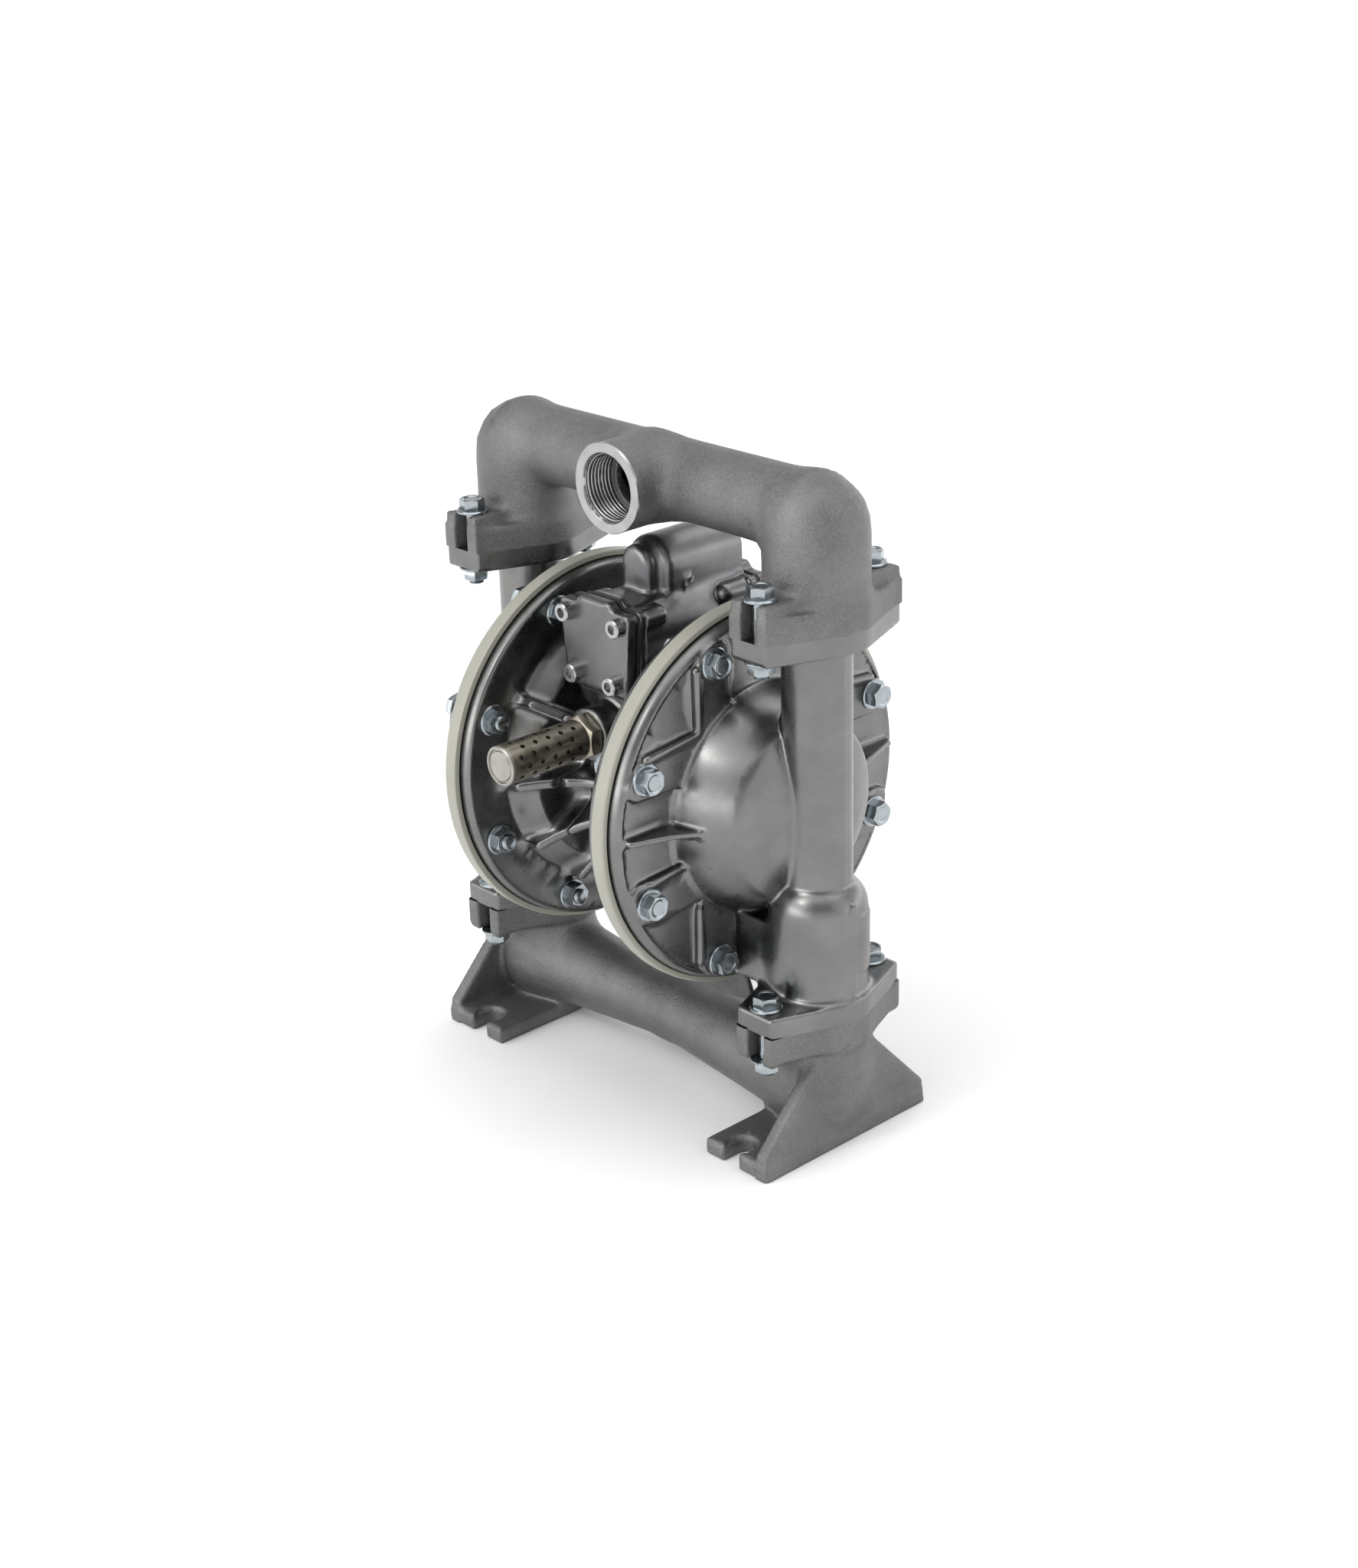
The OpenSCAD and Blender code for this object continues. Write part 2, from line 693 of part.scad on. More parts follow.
// The diaphragm: a flat clamped rim with an outer bead, one convolution, and a flat middle
module diaphragm() {
  fold_r = (inner_disc_r + sheet_inner_r) / 2;
  fold_w = (sheet_inner_r - inner_disc_r) / 2;
  rim_x0 = diaphragm_x - rim_w / 2;
  rim_x1 = diaphragm_x + rim_w / 2;
  rim_bevel = 1.5;
  color(ivory) translate([0, 0, rod_z]) difference() {
    union() {
      xcyl(flange_r + 0.2, sheet_in_x, sheet_out_x);
      difference() {
        turned_x([
          [flange_r, rim_x0], [rim_r - rim_bevel, rim_x0], [rim_r, rim_x0 + rim_bevel],
          [rim_r, rim_x1 - rim_bevel], [rim_r - rim_bevel, rim_x1], [flange_r, rim_x1]
        ]);
        xcyl(flange_r, 0, column_x);
      }
    }
    xcyl(disc_bolt_r, sheet_in_x - 1, sheet_out_x + 1);
    chamber_bolt_places() xcyl(hole_r, sheet_in_x - 1, sheet_out_x + 1);
    turned_x([
      [fold_r - fold_w * 0.6, sheet_in_x - 1], [fold_r + fold_w * 0.6, sheet_in_x - 1],
      [fold_r + fold_w * 0.4, sheet_in_x + 0.8], [fold_r - fold_w * 0.4, sheet_in_x + 0.8]
    ]);
  }
}

// The rod with a tapped hole in each end
module centre_rod() {
  color(steel) translate([0, 0, rod_z]) difference() {
    xcyl(rod_r, -rod_half, rod_half);
    both_sides() xcyl(disc_bolt_r, rod_half - disc_bolt_depth, rod_half + 1);
  }
}

module inner_disc() {
  color(machined) translate([0, 0, rod_z]) difference() {
    turned_x([
      [0, rod_half], [disc_hub_r, rod_half],
      [inner_disc_r - 3, sheet_in_x - 5], [inner_disc_r, sheet_in_x - 3],
      [inner_disc_r, sheet_in_x], [0, sheet_in_x]
    ]);
    xcyl(disc_bolt_r, rod_half - 1, sheet_in_x + 1);
  }
}

module outer_disc() {
  color(machined) translate([0, 0, rod_z]) difference() {
    turned_x([
      [0, sheet_out_x], [outer_disc_r, sheet_out_x], [outer_disc_r, sheet_out_x + 2.5],
      [outer_disc_r - 4, sheet_out_x + 5], [disc_hub_r, sheet_out_x + outer_disc_t],
      [0, sheet_out_x + outer_disc_t]
    ]);
    xcyl(disc_bolt_r, sheet_out_x - 1, sheet_out_x + outer_disc_t + 1);
  }
}

module disc_bolt() {
  seat_x = sheet_out_x + outer_disc_t;
  color(zinc) translate([seat_x, 0, rod_z]) rotate([0, 90, 0]) {
    hex(disc_bolt_af, 0, disc_bolt_head_t);
    zcyl(disc_bolt_r, rod_half - seat_x - disc_bolt_depth + 1, 0.1);
  }
}

// Bronze bushes for the rod, one at each end of the centre body
module rod_bushes() {
  color(bronze) both_sides() translate([0, 0, rod_z]) difference() {
    xcyl(bush_r, body_half_x - bush_l, body_half_x);
    xcyl(rod_r + running_gap, body_half_x - bush_l - 1, body_half_x + 1);
  }
}

// Lip seals behind the bushes
module rod_seals() {
  color(black_rubber) both_sides() translate([0, 0, rod_z]) difference() {
    xcyl(bush_r, body_half_x - bush_l - seal_l, body_half_x - bush_l);
    xcyl(rod_r + running_gap, body_half_x - bush_l - seal_l - 1, body_half_x - bush_l + 1);
  }
}

// A pilot valve pin: its tip stands just short of the disc at the end of a stroke,
// and its collar rests on the bush from inside
module pilot_valve() {
  color(steel) translate([0, pilot_y, rod_z]) {
    xcyl(pilot_r, pilot_tip_x - pilot_l, pilot_tip_x);
    xcyl(pilot_head_r, pilot_bush_x - pilot_head_t, pilot_bush_x);
  }
}

module pilot_bushes() {
  color(bronze) both_sides() translate([0, pilot_y, rod_z]) difference() {
    xcyl(pilot_bush_r, pilot_bush_x, air_inside_x);
    xcyl(pilot_r + running_gap, pilot_bush_x - 1, air_inside_x + 1);
  }
}

// The outline of the valve's end caps, seen from the end, with its base at y = 0
module cap_outline() {
  half = valve_half_x + 1;
  polygon([
    [-half + 5, 0.5], [half - 5, 0.5], [half - 3.6, 3], [half, valve_h - 12],
    [half - 1.5, valve_h - 7], [half - 5, valve_h - 4.5],
    [half - 13, valve_h - 4], [half - 15, valve_h - 1], [-half + 15, valve_h - 1], [-half + 13, valve_h - 4],
    [-half + 5, valve_h - 4.5], [-half + 1.5, valve_h - 7], [-half, valve_h - 12], [-half + 3.6, 3]
  ]);
}

module valve_prism(y0, y1) {
  translate([0, y1, valve_z]) rotate([90, 0, 0]) linear_extrude(y1 - y0) children();
}

module cap_screw_places() {
  for (side = [-1, 1]) {
    translate([side * cap_top_x, cap_top_z]) children();
    translate([side * cap_low_x, cap_low_z]) children();
  }
}

// The main section of the valve body, seen from the end
module valve_section() {
  half = valve_half_x - 1.5;
  polygon([
    [-half + 1, 0], [half - 1, 0], [half, 4], [half, valve_h - 14],
    [half - 4, valve_h - 5], [half - 12, valve_h - 1.5],
    [-half + 12, valve_h - 1.5], [-half + 4, valve_h - 5], [-half, valve_h - 14], [-half, 4]
  ]);
}

// Valve body with the air inlet dome on its top and bosses for the cap screws
module valve_body() {
  color(die_casting) difference() {
    union() {
      valve_prism(-valve_half_y, valve_half_y) valve_section();
      valve_prism(-valve_half_y, -valve_half_y + 5) cap_outline();
      valve_prism(valve_half_y - 5, valve_half_y) cap_outline();
      front_and_back() valve_prism(-valve_half_y, -valve_half_y + 18) {
        for (side = [-1, 1]) {
          translate([side * cap_top_x, cap_top_z]) circle(r = 5.6);
        }
      }
      translate([0, 0, valve_z + dome_box_up]) {
        ycyl(dome_box_r, dome_front_y, valve_half_y);
      }
      translate([-dome_box_r, dome_front_y, valve_z + valve_h - 8]) {
        cube([2 * dome_box_r, valve_half_y - dome_front_y, dome_box_up - valve_h + 8]);
      }
      translate([0, 0, valve_z + dome_box_up + 2]) ycyl(nose_half_x, nose_front_y, dome_front_y + 1);
      translate([-nose_half_x, nose_front_y, valve_z + valve_h - 4]) {
        cube([2 * nose_half_x, dome_front_y - nose_front_y + 1, dome_box_up - valve_h + 6]);
      }
    }
    translate([0, 0, bore_z]) ycyl(sleeve_r, -valve_half_y - 1, valve_half_y + 1);
    translate([0, 0, valve_z + dome_box_up]) {
      ycyl(air_port_r, valve_half_y - air_port_depth, valve_half_y + 1);
      ycyl(duct_r + 0.5, 0, valve_half_y);
      translate([0, 4, -dome_box_up + valve_bore_up]) zcyl(duct_r, 0, dome_box_up - valve_bore_up);
    }
    zcyl(duct_r, valve_z - 1, bore_z);
    front_and_back() valve_prism(-valve_half_y - 1, -valve_half_y + cap_screw_l) {
      cap_screw_places() circle(r = cap_screw_r);
    }
    base_screw_places() zcyl(cap_screw_r, valve_z - 1, valve_z + base_screw_reach + 1);
  }
}

module base_screw_places() {
  for (x = [-base_screw_x, base_screw_x]) {
    for (y = [-base_screw_y, base_screw_y]) {
      translate([x, y, 0]) children();
    }
  }
}

module valve_base_gasket() {
  color(black_rubber) difference() {
    translate([-valve_half_x + 2.5, -shelf_half_y, body_top_z]) {
      cube([2 * valve_half_x - 5, 2 * shelf_half_y, gasket_t]);
    }
    zcyl(duct_r, body_top_z - 1, valve_z + 1);
    base_screw_places() zcyl(cap_screw_r + 0.3, body_top_z - 1, valve_z + 1);
  }
}

// Screws that come up through the centre body's shelf into the valve body
module valve_base_screws() {
  color(zinc) base_screw_places() translate([0, 0, body_top_z - body_shelf_t]) rotate([180, 0, 0]) {
    socket_screw(cap_screw_r, body_shelf_t + gasket_t + base_screw_reach, socket_head_r, socket_head_t);
  }
}

// Distance between the sleeve's ports along the valve bore
valve_port_pitch = 12;

// The ported sleeve that the spool slides in
module valve_sleeve() {
  color(bronze) translate([0, 0, bore_z]) difference() {
    ycyl(sleeve_r, -valve_half_y, valve_half_y);
    ycyl(spool_r + running_gap, -valve_half_y - 1, valve_half_y + 1);
    for (i = [-2 : 2]) {
      translate([0, i * valve_port_pitch, 0]) {
        for (angle = [0, 90]) {
          rotate([0, angle, 0]) cylinder(r = 2.5, h = 3 * sleeve_r, center = true);
        }
      }
    }
  }
}

spool_half = valve_half_y - spool_travel - 1.5;
spool_grooves = [
  -spool_half + 5, -1.5 * valve_port_pitch, -valve_port_pitch / 2,
  valve_port_pitch / 2, 1.5 * valve_port_pitch, spool_half - 5
];
ring_w = 1.8;
ring_depth = 1.5;

module valve_spool() {
  color(machined) translate([0, 0, bore_z]) difference() {
    ycyl(spool_r, -spool_half, spool_half);
    for (i = [-1 : 1]) {
      translate([0, i * valve_port_pitch, 0]) difference() {
        ycyl(spool_r + 1, -3.5, 3.5);
        ycyl(spool_r - 3.5, -4, 4);
      }
    }
    for (y = spool_grooves) {
      translate([0, y, 0]) difference() {
        ycyl(spool_r + 1, -ring_w / 2, ring_w / 2);
        ycyl(spool_r - ring_depth, -ring_w, ring_w);
      }
    }
  }
}

// Seal rings that ride in the spool's grooves
module spool_rings() {
  color(ptfe) translate([0, 0, bore_z]) for (y = spool_grooves) {
    translate([0, y, 0]) difference() {
      ycyl(spool_r, -ring_w / 2, ring_w / 2);
      ycyl(spool_r - ring_depth, -ring_w, ring_w);
    }
  }
}

module valve_cap() {
  color(casting) difference() {
    valve_prism(-cap_face_y, -cap_face_y + cap_t) cap_outline();
    valve_prism(-cap_face_y - 1, -cap_face_y + cap_t + 1) cap_screw_places() circle(r = cap_screw_r + 0.3);
  }
}

module cap_gasket() {
  color(black_rubber) difference() {
    valve_prism(-valve_half_y - gasket_t, -valve_half_y) cap_outline();
    valve_prism(-valve_half_y - gasket_t - 1, -valve_half_y + 1) {
      cap_screw_places() circle(r = cap_screw_r + 0.3);
      translate([0, valve_bore_up]) circle(r = spool_r + 1);
    }
  }
}

module valve_cap_screws() {
  color(black_rubber) front_and_back() translate([0, -cap_face_y, valve_z]) rotate([90, 0, 0]) {
    cap_screw_places() {
      socket_screw(cap_screw_r, cap_t + gasket_t + cap_screw_l - 2, socket_head_r, socket_head_t);
    }
  }
}

// Muffler: hexagon with a nipple, perforated tube, felt core and a pressed end disc
module muffler_fitting() {
  color(nickel) translate([0, -boss_face_y, exhaust_z]) rotate([90, 0, 0]) difference() {
    union() {
      zcyl(nipple_r, -nipple_l, 0.1);
      hex(muffler_af, 0, hex_t);
    }
    zcyl(nipple_r - 2.5, -nipple_l - 1, hex_t + 1);
  }
}

module muffler_tube() {
  color(nickel) translate([0, 0, exhaust_z]) difference() {
    ycyl(muffler_r, -muffler_end_y + muffler_lip_t, -muffler_tube_y);
    ycyl(muffler_r - muffler_wall, -muffler_end_y, -muffler_tube_y + 1);
  }
}

module muffler_core() {
  color(ptfe) translate([0, 0, exhaust_z]) difference() {
    ycyl(muffler_r - muffler_wall, -muffler_end_y + muffler_lip_t, -muffler_tube_y);
    ycyl(nipple_r - 2.5, -muffler_end_y + muffler_lip_t + 5, -muffler_tube_y + 1);
  }
}

module muffler_end_disc() {
  color(nickel) translate([0, 0, exhaust_z]) ycyl(muffler_r, -muffler_end_y, -muffler_end_y + muffler_lip_t);
}

// A valve seat with its conical landing for the ball, drawn about a joint at z = 0
module valve_seat() {
  color(steel) rotate_extrude() polygon([
    [seat_bore_r, -seat_half], [seat_r, -seat_half],
    [seat_r, seat_half], [seat_bore_r + seat_chamfer, seat_half],
    [seat_bore_r, seat_half - seat_chamfer]
  ]);
}

module check_ball() {
  color(ptfe) translate([0, 0, seat_half + ball_rest]) sphere(r = ball_r);
}

// A ball cage: a ring on the seat, four ribs and a cross bar that stops the ball
module ball_cage() {
  color(ptfe) translate([0, 0, seat_half]) difference() {
    union() {
      zcyl(seat_r, 0, cage_ring_t);
      for (angle = [0, 90]) {
        rotate([0, 0, angle]) translate([-seat_r + 0.5, -2, 0]) cube([2 * seat_r - 1, 4, cage_h]);
      }
    }
    zcyl(seat_r - cage_rib, -1, cage_top);
  }
}

// O-rings that seal each joint round its seat
module joint_o_rings() {
  color(black_rubber) both_sides() translate([column_x, 0, 0]) {
    for (z = [low_joint_z + o_ring_r, high_joint_z - o_ring_r]) {
      translate([0, 0, z]) rotate_extrude() translate([o_ring_mid_r, 0]) circle(r = o_ring_r);
    }
  }
}

module at_joint(side, z) {
  on_side(side) translate([column_x, 0, z]) children();
}

// The two bolts or nuts of each joint, on both sides of the pump
module joint_places(z) {
  both_sides() translate([column_x, 0, z]) front_and_back() translate([0, flange_bolt_y, 0]) children();
}

module discharge_flange_bolts() {
  color(zinc) joint_places(high_head_z) flange_bolt(high_head_z - high_nut_z + nut_t + tip_out);
}

module discharge_flange_nuts() {
  color(zinc) joint_places(high_nut_z) flange_nut();
}

module suction_flange_bolts() {
  color(zinc) joint_places(low_head_z) flange_bolt(low_head_z - low_nut_z + nut_t + tip_out);
}

module suction_flange_nuts() {
  color(zinc) joint_places(low_nut_z) flange_nut();
}

module side_chamber_bolts(side) {
  color(zinc) on_side(side) translate([0, 0, rod_z]) chamber_bolt_places() {
    translate([liquid_back_x + bolt_pad_t, 0, 0]) rotate([0, 90, 0]) {
      flange_bolt(liquid_back_x + bolt_pad_t - air_back_x + nut_t + tip_out);
    }
  }
}

module side_chamber_nuts(side) {
  color(zinc) on_side(side) translate([0, 0, rod_z]) chamber_bolt_places() {
    translate([air_back_x, 0, 0]) rotate([0, 90, 0]) flange_nut();
  }
}

discharge_manifold();
suction_manifold();
on_side(-1) liquid_chamber();  // left_liquid_chamber
on_side(1) liquid_chamber();  // right_liquid_chamber
on_side(-1) air_chamber();  // left_air_chamber
on_side(1) air_chamber();  // right_air_chamber
centre_body();
air_chamber_screws();
on_side(-1) diaphragm();  // left_diaphragm
on_side(1) diaphragm();  // right_diaphragm
centre_rod();
on_side(-1) inner_disc();  // left_inner_disc
on_side(1) inner_disc();  // right_inner_disc
on_side(-1) outer_disc();  // left_outer_disc
on_side(1) outer_disc();  // right_outer_disc
on_side(-1) disc_bolt();  // left_disc_bolt
on_side(1) disc_bolt();  // right_disc_bolt
rod_bushes();
rod_seals();
mirror([1, 0, 0]) pilot_valve();  // left_pilot_valve
pilot_valve();  // right_pilot_valve
pilot_bushes();
valve_body();
valve_base_gasket();
valve_base_screws();
valve_sleeve();
valve_spool();
spool_rings();
valve_cap();  // front_valve_cap
mirror([0, 1, 0]) valve_cap();  // rear_valve_cap
cap_gasket();  // front_cap_gasket
mirror([0, 1, 0]) cap_gasket();  // rear_cap_gasket
valve_cap_screws();
muffler_fitting();
muffler_tube();
muffler_core();
muffler_end_disc();
at_joint(-1, low_joint_z) valve_seat();  // left_suction_seat
at_joint(1, low_joint_z) valve_seat();  // right_suction_seat
at_joint(-1, high_joint_z) valve_seat();  // left_discharge_seat
at_joint(1, high_joint_z) valve_seat();  // right_discharge_seat
at_joint(-1, low_joint_z) check_ball();  // left_suction_ball
at_joint(1, low_joint_z) check_ball();  // right_suction_ball
at_joint(-1, high_joint_z) check_ball();  // left_discharge_ball
at_joint(1, high_joint_z) check_ball();  // right_discharge_ball
at_joint(-1, low_joint_z) ball_cage();  // left_suction_cage
at_joint(1, low_joint_z) ball_cage();  // right_suction_cage
at_joint(-1, high_joint_z) ball_cage();  // left_discharge_cage
at_joint(1, high_joint_z) ball_cage();  // right_discharge_cage
joint_o_rings();
discharge_flange_bolts();
discharge_flange_nuts();
suction_flange_bolts();
suction_flange_nuts();
side_chamber_bolts(-1);  // left_chamber_bolts
side_chamber_nuts(-1);  // left_chamber_nuts
side_chamber_bolts(1);  // right_chamber_bolts
side_chamber_nuts(1);  // right_chamber_nuts
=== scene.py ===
# %% [markdown]
# # An air-operated diaphragm pump, dressed over its CAD model
# The construction comes from CAD: bodies, joints, ports and fasteners are where they belong already. This script
# adds what the eye sees: castings with their fillets and ribs, machined faces, screws with chamfers, a perforated
# muffler, and metals that look sand cast, die cast, zinc plated or nickel plated.
#
# Every length below is in millimetres in the pump's own frame, and is turned to metres when a mesh is made.

# %% Load the frame
import json
import math

import bmesh
import bpy
import numpy as np
import openvdb
from mathutils import Matrix, Vector


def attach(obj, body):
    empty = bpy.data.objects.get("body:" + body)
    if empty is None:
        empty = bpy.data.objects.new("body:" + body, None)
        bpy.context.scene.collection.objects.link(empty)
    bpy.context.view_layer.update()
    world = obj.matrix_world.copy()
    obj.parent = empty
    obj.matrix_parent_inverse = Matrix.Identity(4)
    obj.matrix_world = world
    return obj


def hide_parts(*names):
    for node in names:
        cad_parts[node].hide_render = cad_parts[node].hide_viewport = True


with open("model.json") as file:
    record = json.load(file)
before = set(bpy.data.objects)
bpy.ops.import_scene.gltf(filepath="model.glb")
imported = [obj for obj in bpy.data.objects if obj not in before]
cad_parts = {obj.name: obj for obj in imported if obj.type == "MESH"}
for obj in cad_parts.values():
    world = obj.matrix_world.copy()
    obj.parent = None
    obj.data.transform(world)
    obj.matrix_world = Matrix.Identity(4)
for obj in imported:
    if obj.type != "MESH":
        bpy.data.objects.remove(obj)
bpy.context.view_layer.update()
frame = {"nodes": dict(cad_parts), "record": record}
MM = 0.001
BODY = "housing"


# %% [markdown]
# ## The camera
# The photograph was taken from above and to the right of the outlet. A camera is a place and three directions: the
# way it looks, its right and its up. The yaw, pitch and roll below give the three directions, and the focal length
# comes from the photograph's own perspective.

# %% Camera
CAMERA_YAW = 0.830
CAMERA_PITCH = 0.396
CAMERA_ROLL = -0.028
CAMERA_DISTANCE = 1375.9
CAMERA_AIM = (4.19, 166.86)
FOCAL_PIXELS = 3348.06
PHOTO_HEIGHT = 2048
SENSOR = 36.0


def camera_axes():
    cos_yaw, sin_yaw = math.cos(CAMERA_YAW), math.sin(CAMERA_YAW)
    cos_pitch, sin_pitch = math.cos(CAMERA_PITCH), math.sin(CAMERA_PITCH)
    back = Vector((sin_yaw * cos_pitch, -cos_yaw * cos_pitch, sin_pitch))
    level_right = Vector((cos_yaw, sin_yaw, 0))
    level_up = back.cross(level_right)
    cos_roll, sin_roll = math.cos(CAMERA_ROLL), math.sin(CAMERA_ROLL)
    right = cos_roll * level_right + sin_roll * level_up
    up = cos_roll * level_up - sin_roll * level_right
    return right, up, back, level_right


def add_camera():
    right, up, back, level_right = camera_axes()
    aim = Vector((0, 0, CAMERA_AIM[1])) + CAMERA_AIM[0] * level_right
    place = (aim + CAMERA_DISTANCE * back) * MM
    data = bpy.data.cameras.new("photo_camera")
    data.sensor_fit = "VERTICAL"
    data.sensor_height = SENSOR
    data.lens = FOCAL_PIXELS / PHOTO_HEIGHT * SENSOR
    data.clip_start = 0.05
    camera = bpy.data.objects.new("photo_camera", data)
    turn = Matrix((right, up, back)).transposed().to_4x4()
    camera.matrix_world = Matrix.Translation(place) @ turn
    bpy.context.scene.collection.objects.link(camera)
    bpy.context.scene.camera = camera
    print("camera at", [round(v, 3) for v in place], "lens", round(data.lens, 2))


add_camera()

# %% [markdown]
# ## Helpers for materials
# A Blender material is a small graph. One function adds a node with its settings and its links, so every material
# below reads as a list of what the surface is made of. Colours are written as sRGB hex values, the way a colour
# picker shows them, and one function turns them to the linear values that the shader wants.

# %% Colours and nodes


def colour(code):
    values = [int(code[i:i + 2], 16) / 255 for i in (1, 3, 5)]
    linear = [v / 12.92 if v <= 0.04045 else ((v + 0.055) / 1.055) ** 2.4 for v in values]
    return (*linear, 1.0)


def add(tree, kind, links=None, **settings):
    """Adds a node. links maps an input's name or number to an output socket or to a plain value."""
    node = tree.nodes.new(kind)
    for name, value in settings.items():
        setattr(node, name, value)
    for key, value in (links or {}).items():
        socket = node.inputs[key]
        if isinstance(value, bpy.types.NodeSocket):
            tree.links.new(value, socket)
        else:
            socket.default_value = value
    return node


def ramp(tree, factor, stops):
    node = add(tree, "ShaderNodeValToRGB", {"Fac": factor})
    points = node.color_ramp.elements
    while len(points) < len(stops):
        points.new(0.5)
    for point, (place, value) in zip(points, stops):
        point.position = place
        point.color = value if isinstance(value, tuple) else (value, value, value, 1)
    return node.outputs["Color"]


def new_material(name):
    material = bpy.data.materials.new(name)
    material.use_nodes = True
    tree = material.node_tree
    tree.nodes.clear()
    place = add(tree, "ShaderNodeTexCoord").outputs["Object"]
    shader = add(tree, "ShaderNodeBsdfPrincipled")
    output = add(tree, "ShaderNodeOutputMaterial", {"Surface": shader.outputs["BSDF"]})
    output.location = (300, 0)
    return material, tree, place, shader


def noise(tree, place, grain_mm, detail=2.0, roughness=0.5):
    """Cloudy noise whose blobs are about grain_mm across."""
    return add(tree, "ShaderNodeTexNoise", {"Vector": place, "Scale": 1 / (grain_mm * MM), "Detail": detail,
                                            "Roughness": roughness}).outputs["Fac"]


def bump(tree, height, distance_mm, strength=1.0, before=None):
    links = {"Height": height, "Distance": distance_mm * MM, "Strength": strength}
    if before:
        links["Normal"] = before
    return add(tree, "ShaderNodeBump", links).outputs["Normal"]


# %% [markdown]
# ## The metals
# A metal has no colour of its own under the light: it tints what it mirrors. What tells a sand casting from a die
# casting is how rough the mirror is and how it is dimpled. So each material below sets a pale base colour, and then
# spends its nodes on roughness and bump at the real grain of the process.

# %% Sand cast aluminium
# Aluminium poured in sand keeps the print of the grains: a matt, slightly sparkling grey with soft dark clouds.


def make_sand_cast():
    material, tree, place, shader = new_material("sand_cast_aluminium")
    clouds = noise(tree, place, 34, 3, 0.6)
    grains = noise(tree, place, 0.9, 3, 0.65)
    sparkle = add(tree, "ShaderNodeTexVoronoi", {"Vector": place, "Scale": 1 / (0.6 * MM)}).outputs["Color"]
    tint = ramp(tree, clouds, [(0.3, colour("#747474")), (0.7, colour("#868685"))])
    speckle = ramp(tree, sparkle, [(0.25, 0.74), (0.75, 1.0)])
    mixed = add(tree, "ShaderNodeMix", {0: 1.0, 6: tint, 7: speckle}, data_type="RGBA", blend_type="MULTIPLY")
    tree.links.new(mixed.outputs[2], shader.inputs["Base Color"])
    gloss = ramp(tree, sparkle, [(0.0, 0.42), (1.0, 0.62)])
    tree.links.new(gloss, shader.inputs["Roughness"])
    dimples = bump(tree, grains, 0.6, 0.7)
    tree.links.new(bump(tree, clouds, 1.2, 0.3, dimples), shader.inputs["Normal"])
    shader.inputs["Metallic"].default_value = 0.88
    return material


SAND_CAST = make_sand_cast()

# %% Die cast aluminium
# A steel die leaves a skin that is nearly polished, mottled where the metal flowed and cooled.


def make_die_cast(name, dark, light, low=0.2, high=0.36):
    material, tree, place, shader = new_material(name)
    flow = noise(tree, place, 26, 4, 0.55)
    mottle = noise(tree, place, 7, 3, 0.6)
    pits = noise(tree, place, 0.9, 2, 0.6)
    tint = ramp(tree, flow, [(0.32, colour(dark)), (0.68, colour(light))])
    tree.links.new(tint, shader.inputs["Base Color"])
    tree.links.new(ramp(tree, mottle, [(0.3, low), (0.7, high)]), shader.inputs["Roughness"])
    skin = bump(tree, pits, 0.06, 0.12)
    tree.links.new(bump(tree, mottle, 0.07, 0.1, skin), shader.inputs["Normal"])
    shader.inputs["Metallic"].default_value = 1.0
    return material


DIE_CAST = make_die_cast("die_cast_aluminium", "#737373", "#80807f", 0.25, 0.35)
VALVE_CAST = make_die_cast("shot_blasted_die_casting", "#717173", "#7e7e7f", 0.27, 0.38)

# %% Machined, plated and ground metals
# Turned faces carry fine rings, plating is clean with a slight tint, and ground steel is even all over.


def make_metal(name, base, low, high, grain_mm=5.0, dent_mm=0.06, rings=None):
    material, tree, place, shader = new_material(name)
    cloud = noise(tree, place, grain_mm, 2, 0.5)
    shade = colour(base)
    darker = tuple(0.86 * v for v in shade[:3]) + (1.0,)
    tree.links.new(ramp(tree, cloud, [(0.3, darker), (0.7, shade)]), shader.inputs["Base Color"])
    tree.links.new(ramp(tree, cloud, [(0.3, low), (0.7, high)]), shader.inputs["Roughness"])
    height = cloud
    if rings:
        moved = add(tree, "ShaderNodeMapping", {"Vector": place, "Location": tuple(-v * MM for v in rings)})
        height = add(tree, "ShaderNodeTexWave", {"Vector": moved.outputs["Vector"], "Scale": 1 / (1.6 * MM) / 6.3},
                     wave_type="RINGS", rings_direction="Y").outputs["Fac"]
    tree.links.new(bump(tree, height, dent_mm, 0.35), shader.inputs["Normal"])
    shader.inputs["Metallic"].default_value = 1.0
    return material


ZINC = make_metal("zinc_plated_steel", "#a9b0b4", 0.16, 0.3, 4)
STEEL = make_metal("ground_stainless_steel", "#b4b5b6", 0.22, 0.3, 6)
MACHINED = make_metal("machined_aluminium", "#a9a9a8", 0.2, 0.3, 8)
NICKEL = make_metal("nickel_plated_brass", "#9a9486", 0.24, 0.38, 6)
SATIN = make_metal("satin_nickel_disc", "#aba9a2", 0.3, 0.42, 6)
BRONZE = make_metal("sintered_bronze", "#a9875a", 0.4, 0.55, 1.2)

# %% Plastics and rubber
# The diaphragm is a fluoroplastic sheet: ivory, waxy, a little light goes in. The gaskets are black nitrile.


